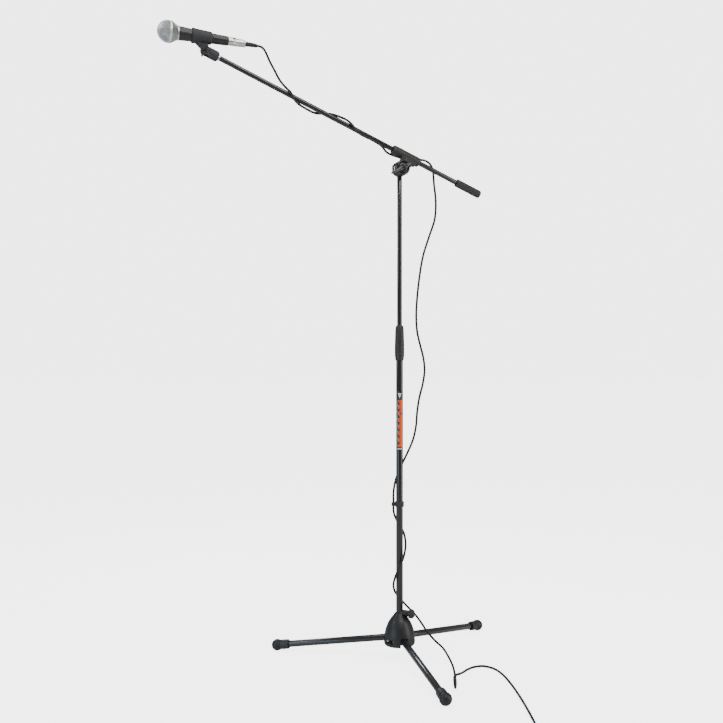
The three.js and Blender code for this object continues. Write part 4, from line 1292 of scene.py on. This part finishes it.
@dataclass
class Mast:
    """The two telescoping tubes, the height grip, the label and the cable clip."""

    layout: Layout
    grip: Profile = (
        (9.7, 767.0), (10.5, 767.5), (11.1, 769.4), (11.7, 774.0),
        (12.35, 781.0), (12.45, 784.2), (12.1, 784.7),
        (12.1, 785.5), (12.5, 786.0), (12.4, 806.0), (11.9, 824.0),
        (11.35, 842.0), (10.9, 850.0), (10.0, 854.2),
        (8.6, 856.6), (7.2, 857.0),
    )

    def build(self) -> None:
        """Make every piece of the mast."""
        self.tubes()
        self.height_grip()
        self.cable_clip()
        self.label()
        dress("mast_foot_cap", BLACK_PLASTIC)
        dress("height_collet", BLACK_PLASTIC)
        dress("mast_glide_bush", BLACK_PLASTIC)

    def tubes(self) -> None:
        """The lower and the upper tube."""
        for name, body, node, radius, wall, low, high in (
            ("mast_lower_painted", "lower_mast", "lower_mast_tube", 9, 1.2, 75.3, 815),
            ("mast_upper_painted", "upper_mast", "upper_mast_tube", 6.5, 1.2, 480, 1249.5),
        ):
            ring = [(radius, low), (radius, high), (radius - wall, high), (radius - wall, low)]
            tube = Bench.soften(Bench.turned(name, ring, 72, hollow=True), 0.25)
            fit(Bench.put(tube, self.layout.mast), body, GLOSS_PAINT, (node,))

    def height_grip(self) -> None:
        """The ribbed grip that clamps the upper tube, with a plain collar below."""
        inside = [(6.8, 857), (6.8, 854), (8.0, 853), (9.6, 819), (9.3, 815), (9.3, 767)]
        ring = Bench.turned("height_grip_ribbed", [*self.grip, *inside], 96, hollow=True)
        Bench.select(ring, lambda place: 787 < place.z < 849 and math.hypot(place.x, place.y) > 10.2)
        bpy.ops.mesh.subdivide(number_cuts=1)
        bpy.ops.object.mode_set(mode="OBJECT")
        pitch = 2 * math.pi / 16

        def in_rib(place: Vector) -> bool:
            """Whether a place is on one of the ribs."""
            around = (math.atan2(place.y, place.x) + math.pi + 1e-4) % pitch
            return 787 < place.z < 851 and math.hypot(place.x, place.y) > 10.2 and around < pitch * 0.34

        Bench.select(ring, in_rib)
        bpy.ops.transform.resize(value=(0.955, 0.955, 1), center_override=(0, 0, 0))
        bpy.ops.object.mode_set(mode="OBJECT")
        fit(
            Bench.put(ring, self.layout.mast),
            "height_grip",
            WARM_PLASTIC,
            ("height_grip",),
            24,
        )

    def cable_clip(self) -> None:
        """The C-shaped clip with the ring that holds the cable."""
        low, high = 391.5, 404.5
        body = Bench.turned(
            "clip_ring", [(11.4, low), (11.7, low + 0.6), (11.7, high - 0.6), (11.4, high)], 64
        )
        hook = Bench.turned(
            "hook", [(5.2, low + 2), (5.5, low + 2.5), (5.5, high - 2.5), (5.2, high - 2)], 40
        )
        Bench.unite(body, Bench.put(hook, Matrix.Translation((-15.4 * MM, 0, 0))))
        Bench.cut(body, Bench.turned("tube_room", [(9.3, low - 5), (9.3, high + 5)], 64))
        mouth = Bench.block("mouth", (0, -3.93, low - 5), (40, 3.93, high + 5))
        Bench.cut(body, Bench.put(mouth, Matrix.Rotation(math.radians(40), 4, "Z")))
        room = Bench.turned("cable_room", [(4, low - 5), (4, high + 5)], 40)
        Bench.cut(body, Bench.put(room, Matrix.Translation((-15.4 * MM, 0, 0))))
        slit = Bench.block("slit", (-40, 0, low - 5), (0, 2.2, high + 5))
        place = Matrix.Translation((-15.4 * MM, 0, 0)) @ Matrix.Rotation(math.radians(-50), 4, "Z")
        Bench.cut(body, Bench.put(slit, place))
        body.name = "mast_cable_clip_moulded"
        fit(
            Bench.put(body, self.layout.mast),
            "lower_mast",
            BLACK_PLASTIC,
            ("mast_cable_clip",),
        )

    def label(self) -> None:
        """The printed film on the lower tube, facing forward and a little to the right."""
        low, high = 538.0, 690.0
        first, last = math.radians(-152), math.radians(-24)
        rows = [low + (high - low) * k / 12 for k in range(13)]
        film = Bench.turned("mast_label", [(9.12, height) for height in rows] + [(9.12, low)], 144)

        def outside(place: Vector) -> bool:
            """Whether a place lies off the film that is kept."""
            turn = math.atan2(place.y, place.x)
            flat = math.hypot(place.x, place.y) < 8.9
            return flat or not first < turn < last

        Bench.select(film, outside, "FACE")
        bpy.ops.mesh.delete(type="FACE")
        bpy.ops.mesh.select_all(action="SELECT")
        bpy.ops.mesh.remove_doubles(threshold=1e-6)
        bpy.ops.object.mode_set(mode="OBJECT")
        for old in list(film.data.uv_layers):
            film.data.uv_layers.remove(old)
        layer = film.data.uv_layers.new(name="print")
        for loop, uv in zip(film.data.loops, layer.data):
            place = film.data.vertices[loop.vertex_index].co / MM
            turn = math.atan2(place.y, place.x)
            uv.uv = ((turn - first) / (last - first), (place.z - low) / (high - low))
        Bench.hold(film)
        bpy.ops.object.modifier_add(type="SOLIDIFY")
        modifier = film.modifiers[-1]
        modifier.thickness = 0.08 * MM
        modifier.offset = 0
        bpy.ops.object.modifier_apply(modifier=modifier.name)
        fit(Bench.put(film, self.layout.mast), "lower_mast", LABEL)


# ---------------------------------------------------------------- tilt clutch


@dataclass
class Clutch:
    """The tilt clutch on the mast: its two discs, the boom's clamp sleeve and the wing handle."""

    layout: Layout

    def build(self) -> None:
        """Make every piece of the clutch."""
        self.fixed_half()
        self.clamp()
        self.wing()
        dress("clutch_bolt", ZINC)
        dress("boom_liner", BLACK_PLASTIC)

    def across(self, name: str, profile: Profile, segments: int = 72) -> Piece:
        """A round piece along the tilt axis, in the heading's frame."""
        return Bench.put(Bench.turned(name, profile, segments), Turn.ALONG_Y.value)

    def fixed_half(self) -> None:
        """The half on the mast, with rims and grooves around it, and the washer in front of it."""
        rims = [
            (9.5, -10.5), (11.6, -10.5), (12.2, -9.7), (14.6, -9.7),
            (15.2, -10.4), (17.2, -10.1), (18.7, -9.0),
            (19.4, -7.2), (19.5, -3.4), (18.7, -2.9), (18.7, -1.6), (19.5, -1.1), (19.5, 3.2), (18.8, 3.7),
            (18.8, 4.6), (19.5, 5.1), (19.4, 7.0), (18.6, 8.2), (17.4, 8.5),
        ]
        half = self.across("clutch_half_rimmed", rims)
        Bench.cut(
            half,
            self.across("bolt_hole", [(3.3, -40), (3.3, 40)], 32),
            Bench.turned("tube_socket", [(6.8, -60), (6.8, -8.7)], 48),
        )
        fit(
            Bench.put(half, self.layout.heading),
            "upper_mast",
            CLUTCH_PAINT,
            ("clutch_fixed_half",),
        )
        ring = [(16.6, 8.8), (17.0, 9.0), (17.0, 10.0), (16.6, 10.2), (3.3, 10.2), (3.3, 8.8)]
        washer = Bench.put(Bench.turned("clutch_friction_ring", ring, 64, hollow=True), Turn.ALONG_Y.value)
        fit(
            Bench.put(washer, self.layout.heading),
            "upper_mast",
            FOOT_RUBBER,
            ("clutch_washer",),
        )

    def clamp(self) -> None:
        """The half that tips: its disc, the web and the faceted sleeve with the stop lug."""
        rims = [
            (17.0, 10.5), (18.6, 10.8), (19.4, 12.0), (19.5, 14.6), (18.7, 15.1), (18.7, 16.4), (19.5, 16.9),
            (19.5, 22.4), (18.9, 24.6), (17.4, 26.2), (15.6, 26.8), (14.6, 26.2), (13.4, 25.0), (12.0, 25.0),
            (11.0, 26.2), (10.0, 26.8), (8.0, 26.8),
        ]
        sleeve = Bench.turned(
            "sleeve",
            [(9.8, -39.5), (11.2, -39.1), (12.5, -36.6), (12.5, -34.4),
             (12.1, -33.8), (12.1, -32.8), (12.6, -32.2),
             (12.6, 31.6), (12.1, 32.2), (12.1, 33.2), (12.5, 33.8), (12.5, 36.2), (11.2, 39.1), (9.8, 39.5)],
            16,
        )
        Bench.put(sleeve, Matrix.Rotation(math.radians(11.25), 4, "Z"))
        Bench.soften(sleeve, 0.7, 3, 14)
        Bench.put(sleeve, Matrix.Translation((0, 10 * MM, 35.2 * MM)) @ Turn.ALONG_X.value)
        web = Bench.block("web", (-17, 11.5, 6), (12.5, 21.5, 34))
        Bench.select(web, lambda place: place.z > 30 and place.x < 0)
        bpy.ops.transform.translate(value=(-15 * MM, 0, 0))
        bpy.ops.object.mode_set(mode="OBJECT")
        Bench.soften(web, 1.6, 3, 30)
        lug = self.across("lug", [(4.4, 5), (5.2, 5.8), (5.2, 18.2), (4.4, 19)], 40)
        Bench.put(lug, Matrix.Translation((-27 * MM, 0, 23.7 * MM)))
        rib = Bench.block("rib", (-2.2, 12.5, 6), (2.2, 23.4, 30))
        Bench.soften(rib, 1.0, 3, 30)
        Bench.unite(sleeve, web, lug, rib)
        bore = Bench.turned("bore", [(8.6, -60), (8.6, 60)], 64)
        Bench.put(bore, Matrix.Translation((0, 10 * MM, 35.2 * MM)) @ Turn.ALONG_X.value)
        Bench.cut(sleeve, bore, self.across("disc_room", [(8.2, -40), (8.2, 40)], 48))
        sleeve.name = "boom_clamp_moulded"
        fit(
            Bench.put(sleeve, self.layout.tilted),
            "boom_clamp",
            WARM_PLASTIC,
            ("boom_clamp",),
            26,
        )
        disc = self.across("clutch_half_front", rims)
        Bench.cut(disc, self.across("bolt_hole", [(3.3, -40), (3.3, 40)], 32))
        fit(Bench.put(disc, self.layout.tilted), "boom_clamp", CLUTCH_PAINT, ("boom_clamp",))

    def wing(self) -> None:
        """The curved lever with its round cap."""
        cage = Bench.block("lever", (-6, 30.5, -5.6), (6, 38.0, 5.6))
        reach = math.atan2(-18.5, 33.5)
        arms = (
            (1, ((10, 0.86), (11, 0.80), (10, 0.86), (5.2, 0.7))),
            (-1, ((6, 0.8), (6, 0.72), (3.6, 0.7))),
        )
        for sign, steps in arms:
            edge = 6.0 * sign
            for length, ratio in steps:
                Bench.select(cage, lambda place, edge=edge: abs(place.x - edge) < 0.05, "FACE")
                bpy.ops.mesh.extrude_region_move(TRANSFORM_OT_translate={"value": (sign * length * MM, 0, 0)})
                edge += sign * length
                middle = (edge * MM, 34.2 * MM, 0)
                bpy.ops.transform.resize(value=(1, ratio * 0.5 + 0.5, ratio), center_override=middle)
                bpy.ops.object.mode_set(mode="OBJECT")
        Bench.rounded(cage, 3)
        Bench.put(cage, Matrix.Rotation(-reach, 4, "Y"))
        Bench.cut(cage, self.across("cap_room", [(6.0, 20), (6.0, 50)], 48))
        cage.name = "clutch_lever_arms"
        fit(
            Bench.put(cage, self.layout.heading),
            "clutch_wing",
            LEVER_PLASTIC,
            ("clutch_wing",),
            40,
        )
        cap = self.across(
            "clutch_lever_cap",
            [
                (4.6, 27.3), (5.7, 27.5), (5.9, 28.4), (5.9, 38.6), (6.4, 39.0), (6.6, 39.8), (6.6, 41.2),
                (6.2, 42.6), (5.4, 43.6), (4.4, 44.1), (3.6, 44.2), (3.0, 43.6), (1.6, 43.3),
            ],
            56,
        )
        Bench.cut(cap, self.across("bolt_room", [(3.3, 0), (3.3, 41.2)], 32))
        fit(Bench.put(cap, self.layout.heading), "clutch_wing", CLUTCH_PAINT, ("clutch_wing",))


# ---------------------------------------------------------------- boom and clip


@dataclass
class Boom:
    """The boom's tube with its rear grip and thread end, and the lower half of the microphone's clip."""

    layout: Layout

    def build(self) -> None:
        """Make every piece that slides with the boom."""
        lying = self.layout.boom @ Turn.ALONG_X.value
        tube = Bench.turned(
            "boom_painted", [(6.35, -215), (6.35, 513), (5.35, 513), (5.35, -215)], 72, hollow=True
        )
        fit(Bench.put(Bench.soften(tube, 0.25), lying), "boom", GLOSS_PAINT, ("boom_tube",))
        self.rear_grip(lying)
        insert = Bench.turned(
            "thread_end",
            [
                (5.05, 495),
                (5.05, 513.3),
                (6.1, 513.3),
                (6.5, 513.7),
                (6.5, 515.9),
                (6.1, 516.3),
                (4.7, 516.3),
                (4.7, 529.8),
                (4.2, 530.3),
            ],
            64,
        )
        fit(Bench.put(insert, lying), "boom", NICKEL, ("boom_thread_insert",))
        self.clip_base()
        dress("boom_counterweight", ZINC)
        dress("clip_thread_insert", BRASS)
        dress("clip_pivot_screw", BLACK_OXIDE)

    def rear_grip(self, lying: Matrix) -> None:
        """The ribbed handle on the boom's rear end."""
        outside = [
            (3.6, -229), (5.8, -228.8), (8.0, -228.1), (9.7, -226.4),
            (10.3, -223.6), (10.4, -216), (10.4, -166),
            (10.4, -160.4), (9.9, -159.9), (9.9, -158.9),
            (10.3, -158.4), (10.3, -155.6), (9.6, -154.4), (8.8, -154),
        ]
        grip = Bench.turned("boom_grip_ribbed", outside, 96)
        Bench.fluted(grip, 24, 0.045, -224.5, -159.9, 0.5)
        Bench.cut(grip, Bench.turned("tube_room", [(6.65, -215.3), (6.65, -140)], 56))
        fit(Bench.put(grip, lying), "boom", WARM_PLASTIC, ("boom_rear_grip",), 24)

    def clip_base(self) -> None:
        """The clip's lower half: the threaded socket with the yoke for the pivot."""
        socket = Bench.turned(
            "clip_socket",
            [
                (9.0, 516.6),
                (9.6, 516.8),
                (12.0, 520.4),
                (12.4, 521.8),
                (12.4, 538.6),
                (11.6, 540.4),
                (10.2, 541),
            ],
            72,
        )
        Bench.put(socket, Turn.ALONG_X.value)
        yoke = Bench.turned("yoke", [(8.9, -10.5), (9.5, -9.9), (9.5, 9.9), (8.9, 10.5)], 56)
        Bench.put(yoke, Matrix.Translation((551 * MM, 0, 0)) @ Turn.ALONG_Y.value)
        neck = Bench.soften(Bench.block("neck", (529, -10.5, -9.5), (551, 10.5, 9.5)), 0.6)
        Bench.unite(socket, neck, yoke)
        slot = Bench.block("slot", (536, -5.3, -30), (590, 5.3, 30))
        thread = Bench.put(Bench.turned("thread_room", [(7.3, 500), (7.3, 531.3)], 48), Turn.ALONG_X.value)
        hole = Bench.turned("pivot_hole", [(2.5, -40), (2.5, 40)], 32)
        Bench.put(hole, Matrix.Translation((551 * MM, 0, 0)) @ Turn.ALONG_Y.value)
        Bench.cut(socket, slot, thread, hole)
        socket.name = "clip_yoke"
        fit(Bench.put(socket, self.layout.boom), "boom", BLACK_PLASTIC, ("clip_base",))


# ---------------------------------------------------------------- microphone


@dataclass
class Microphone:
    """The clip's barrel, the microphone in it and the connector on the microphone's end."""

    layout: Layout
    handle: Profile = ((24.1, 16.3), (40, 15.4), (54, 14.3), (80, 13.0), (103, 12.1), (138, 11.0))

    def build(self) -> None:
        """Make every piece of the microphone."""
        self.lying = self.layout.microphone @ Turn.ALONG_X.value
        self.barrel()
        self.body()
        self.grille()
        self.connector()
        dress("mic_capsule", ZINC)
        dress("mic_capsule_mount", FOOT_RUBBER)
        dress("mic_contact_pins", BRASS)
        dress("connector_insert", BLACK_PLASTIC)

    def radius(self, behind: float) -> float:
        """The handle's radius at a distance behind the middle of the grille's ball."""
        for (x0, r0), (x1, r1) in zip(self.handle, self.handle[1:]):
            if behind <= x1:
                return r0 + (r1 - r0) * (behind - x0) / (x1 - x0)
        return self.handle[-1][1]

    def barrel(self) -> None:
        """The split barrel that holds the microphone, with its neck down to the pivot."""
        stations = [-100, -99.2, -97.4, -93, -86, -77, -68, -61, -58.6, -56.4, -54.4, -53.2, -53]
        proud = [0.5, 1.5, 2.1, 2.4, 2.5, 2.5, 2.5, 2.7, 3.1, 3.3, 3.1, 2.3, 1.3]
        outside = [(self.radius(-x) + GAP + extra, x) for x, extra in zip(stations, proud)]
        barrel = Bench.put(Bench.turned("clip_barrel_moulded", outside, 72), Turn.ALONG_X.value)
        neck = Bench.block("neck", (-92.7, -5, -33.6), (-76.7, 5, -13))
        for upper, rear, shift in (
            (True, True, (1.6, 0, 0)), (True, False, (18.6, 0, 0)), (False, False, (0, 0, 4))
        ):
            Bench.select(
                neck,
                lambda place,
                upper=upper,
                rear=rear: (place.z > -20) == upper and (place.x < -85) == rear,
            )
            bpy.ops.transform.translate(value=[value * MM for value in shift])
            bpy.ops.object.mode_set(mode="OBJECT")
        Bench.soften(neck, 1.2, 3, 30)
        eye = Bench.turned("eye", [(8.2, -5), (8.7, -4.5), (8.7, 4.5), (8.2, 5)], 48)
        Bench.put(eye, Matrix.Translation((-84.7 * MM, 0, -30.6 * MM)) @ Turn.ALONG_Y.value)
        Bench.unite(barrel, neck, eye)
        rings = [(-110, self.radius(110)), (-103, self.radius(103)), (-80, 13.0), (-54, 14.3), (-48, 14.8)]
        room = Bench.turned("handle_room", [(radius + GAP, x) for x, radius in rings], 72)
        Bench.put(room, Turn.ALONG_X.value)
        slit = Bench.block("slit", (-112, -3, 0), (-45, 3, 40))
        hole = Bench.turned("pivot_hole", [(2.5, -40), (2.5, 40)], 32)
        Bench.put(hole, Matrix.Translation((-84.7 * MM, 0, -30.6 * MM)) @ Turn.ALONG_Y.value)
        Bench.cut(barrel, room, slit, hole)
        fit(
            Bench.put(barrel, self.layout.microphone),
            "clip_barrel",
            BLACK_PLASTIC,
            ("clip_barrel",),
            36,
        )

    def body(self) -> None:
        """The tapered handle and the bright ring that holds the grille."""
        outside = [
            (16.0, -24.1), (16.3, -24.5), (16.2, -26.6), (15.85, -26.9), (15.85, -27.5), (16.1, -27.8),
            (15.4, -40), (14.3, -54), (13.0, -80), (12.1, -103), (11.3, -128), (11.1, -134.4), (10.8, -134.7),
            (10.8, -135.3), (11.0, -135.6), (11.0, -137.4), (10.7, -138),
        ]
        inside = [
            (8.9, -138),
            (9.0, -136.5),
            (9.0, -134),
            (9.2, -126),
            (10.1, -103),
            (11.0, -80),
            (12.3, -54),
            (14.2, -27),
            (14.3, -24.1),
        ]
        handle = Bench.turned("mic_handle_enamelled", [*outside, *inside], 96, hollow=True)
        fit(Bench.put(handle, self.lying), "mic", HANDLE_ENAMEL, ("mic_handle",), 30)
        ring = [
            (16.4, -23.8), (16.8, -23.4), (16.8, -22.6), (16.5, -22.3),
            (16.8, -22.0), (16.8, -21.2), (16.4, -20.8),
            (14.2, -20.8), (14.2, -23.8),
        ]
        collar = Bench.turned("mic_collar_bright", ring, 96, hollow=True)
        fit(Bench.put(collar, self.lying), "mic", NICKEL, ("mic_collar_ring",))

    def woven(self, name: str, profile: Profile, segments: int, wire: float) -> Piece:
        """A mesh of crossing wires on a round form.

        Args:
            name: The piece's name.
            profile: Radius and place along the microphone of each ring of wire.
            segments: Wires around.
            wire: The wire's thickness.

        Returns:
            The mesh.
        """
        form = Bench.turned(name, profile, segments)
        Bench.hold(form)
        bpy.ops.object.modifier_add(type="WIREFRAME")
        modifier = form.modifiers[-1]
        modifier.thickness = wire * MM
        modifier.offset = -0.2
        modifier.use_even_offset = False
        bpy.ops.object.modifier_apply(modifier=modifier.name)
        return form

    def grille(self) -> None:
        """The ball: woven front, bright band, woven rear cone, and the foam behind the wires."""
        turns = [math.radians(1 + 98 * k / 38) for k in range(38, -1, -1)]
        front = [(25.35 * math.sin(turn), 25.35 * math.cos(turn)) for turn in turns]
        mesh = self.woven("mic_grille_front", front, 84, 0.74)
        fit(Bench.put(mesh, self.lying), "mic", MESH_WIRE, ("mic_grille",), 60)
        cone = [(24.8 + (16.3 - 24.8) * (k / 11) ** 1.12, -6.3 - 14.1 * k / 11) for k in range(12)]
        rear = self.woven("mic_grille_rear", cone, 84, 0.7)
        fit(Bench.put(rear, self.lying), "mic", MESH_WIRE_DARK, (), 60)
        band = [
            (24.5, -6.3), (25.2, -6.1), (25.5, -5.4), (25.65, -3.4), (25.6, -2.6), (25.2, -2.1), (24.3, -2.1),
            (24.0, -6.3),
        ]
        hoop = Bench.turned("mic_grille_band", band, 96, hollow=True)
        fit(Bench.put(hoop, self.lying), "mic", GRILLE_BAND)
        inner = [(14.6, -20.4), (15.4, -20.2), *((radius - 0.75, place) for radius, place in cone[::-1][1:])]
        inner += [(23.95, -6.0), *arc(0, 24.5, 99, 4, 22)]
        foam = Bench.turned("mic_grille_foam", inner, 72)
        room = [(14.3, -30), (14.4, -20), (20.8, -7), (21.4, 2), *arc(0, 21.6, 78, 6, 12)]
        Bench.cut(foam, Bench.turned("capsule_room", room, 64))
        fit(Bench.put(foam, self.lying), "mic", GRILLE_FOAM, (), 50)

    def connector(self) -> None:
        """The nickel shell with its latch, and the boot with bending ribs."""
        front, rear = -138.6, -179.6
        outside = [
            (6.6, rear), (7.8, rear), (8.5, rear + 0.7), (8.6, rear + 2.0),
            (8.3, rear + 2.5), (8.3, rear + 3.3), (8.65, rear + 3.8),
            (8.65, rear + 5.4), (8.35, rear + 5.9), (8.35, rear + 6.7),
            (8.75, rear + 7.2), (9.5, front - 12.6), (9.7, front - 12.2),
            (9.9, front - 1.2), (9.6, front - 0.3), (9.2, front),
        ]
        shell = Bench.turned("connector_shell_bright", outside, 72)
        slot = Bench.put(Bench.block("latch_room", (-155.9, -2.8, 0), (-145.3, 2.8, 20)), Matrix.Identity(4))
        Bench.cut(shell, Bench.turned("bore", [(8.3, rear + 8), (8.3, front + 5)], 56))
        Bench.cut(shell, Bench.turned("cable_room", [(4.7, rear - 5), (4.7, rear + 9)], 40))
        Bench.cut(Bench.put(shell, Turn.ALONG_X.value), slot)
        fit(
            Bench.put(shell, self.layout.microphone),
            "cable_connector",
            NICKEL,
            ("connector_shell",),
        )
        latch = Bench.block("connector_latch_button", (-155.6, -2.5, 8.7), (-145.6, 2.5, 10.4))
        Bench.select(latch, lambda place: place.z > 10 and place.x > -146)
        bpy.ops.transform.translate(value=(0, 0, -0.5 * MM))
        bpy.ops.object.mode_set(mode="OBJECT")
        Bench.soften(latch, 0.35, 3, 20)
        ridges = [
            Bench.soften(Bench.block("ridge", (x, -2.0, 10.0), (x + 0.7, 2.0, 10.55)), 0.15)
            for x in (-154, -152.6, -151.2)
        ]
        Bench.unite(latch, *ridges)
        fit(
            Bench.put(latch, self.layout.microphone),
            "connector_latch",
            BLACK_PLASTIC,
            ("connector_latch",),
        )
        boot = boot_piece("connector_boot_ribbed", rear - GAP, -1)
        fit(Bench.put(boot, self.lying), "cable_connector", FOOT_RUBBER, ("connector_boot",))


def boot_piece(name: str, start: float, way: int) -> Piece:
    """A cable boot with bending ribs, along Z.

    Args:
        name: The piece's name.
        start: Where its wide end is.
        way: 1 when it narrows upwards, -1 when it narrows downwards.

    Returns:
        The boot.
    """
    profile = [(5.0, 0), (5.7, 0.3), (6.0, 1.2), (6.0, 5.0), (5.7, 5.8)]
    for k in range(6):
        base, radius = 7.2 + k * 3.1, 5.65 - k * 0.16
        profile += [
            (radius - 0.45, base),
            (radius - 0.45, base + 0.7),
            (radius, base + 1.1),
            (radius, base + 2.3),
            (radius - 0.1, base + 2.6),
        ]
    profile += [(4.6, 26.6), (4.6, 27.6), (4.2, 28)]
    rings = [(radius, start + way * height) for radius, height in profile]
    return Bench.turned(name, rings, 56)


# ---------------------------------------------------------------- the far plug and the coil's tie


@dataclass
class FarEnd:
    """The plug at the cable's far end, lying on the floor, and the strap around the coil."""

    layout: Layout

    def build(self) -> list[Piece | str]:
        """Make the plug and the strap.

        Returns:
            The pieces that go with the cable's last stretch.
        """
        x, y = COIL_MIDDLE
        place = self.layout.mast @ Matrix.Translation(
            (372 * MM, (y - 42.5) * MM, 10.2 * MM)
        ) @ Turn.ALONG_X.value
        boot = Bench.put(boot_piece("far_plug_boot", 28, -1), place)
        fit(boot, "base", FOOT_RUBBER, ("plug_boot",))
        start, end = 28.3, 74.3
        outside = [
            (6.6, start), (7.8, start), (8.5, start + 0.7),
            (8.6, start + 2), (8.3, start + 2.5), (8.3, start + 3.3),
            (8.65, start + 3.8), (8.8, start + 10), (9.5, start + 31), (9.9, start + 32), (9.9, start + 34),
            (9.6, start + 34.5), (9.6, start + 35.3), (9.9, start + 35.8), (9.9, end - 0.4), (9.6, end),
        ]
        shell = Bench.turned("far_plug_shell", outside, 72)
        Bench.cut(
            shell,
            Bench.turned(
                "socket_room",
                [(7.6, start + 8), (7.6, start + 28), (9.0, start + 31), (9.0, end + 5)],
                56,
            ),
            Bench.turned("cable_room", [(5.3, start - 5), (5.3, start + 9)], 40),
        )
        fit(Bench.put(shell, place), "base", NICKEL, ("plug_shell",))
        dress("plug_contact_pins", BRASS)
        strap = Bench.block("strap", (-10.6, -6, 1.2), (10.6, 6, 20.5))
        Bench.soften(strap, 2.4, 4, 60)
        room = Bench.soften(Bench.block("room", (-9.7, -20, 2.1), (9.7, 20, 19.6)), 1.9, 4, 60)
        Bench.cut(strap, room)
        buckle = Bench.soften(Bench.block("buckle", (9.9, -3.4, 8), (11.6, 3.4, 14.4)), 0.5, 2, 60)
        Bench.unite(strap, buckle)
        strap.name = "coil_strap"
        Bench.put(strap, self.layout.mast @ Matrix.Translation(((x + 36) * MM, y * MM, 0)))
        fit(strap, "base", BLACK_PLASTIC, ("cable_tie",))
        return [boot, shell, strap, "plug_contact_pins"]


def main() -> None:
    """Build the stand."""
    logging.basicConfig(level=logging.INFO, format="%(name)s: %(message)s")
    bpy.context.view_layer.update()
    layout = Layout()
    Studio(layout).build()
    far_end = FarEnd(layout).build()
    cable = Cable(layout)
    cable.draw()
    cable.build(far_end)
    for assembly in (Base(layout), Mast(layout), Clutch(layout), Boom(layout), Microphone(layout)):
        assembly.build()
        LOG.info("%s done", type(assembly).__name__)
    Bench.clear()


if __name__ == "__main__":
    main()
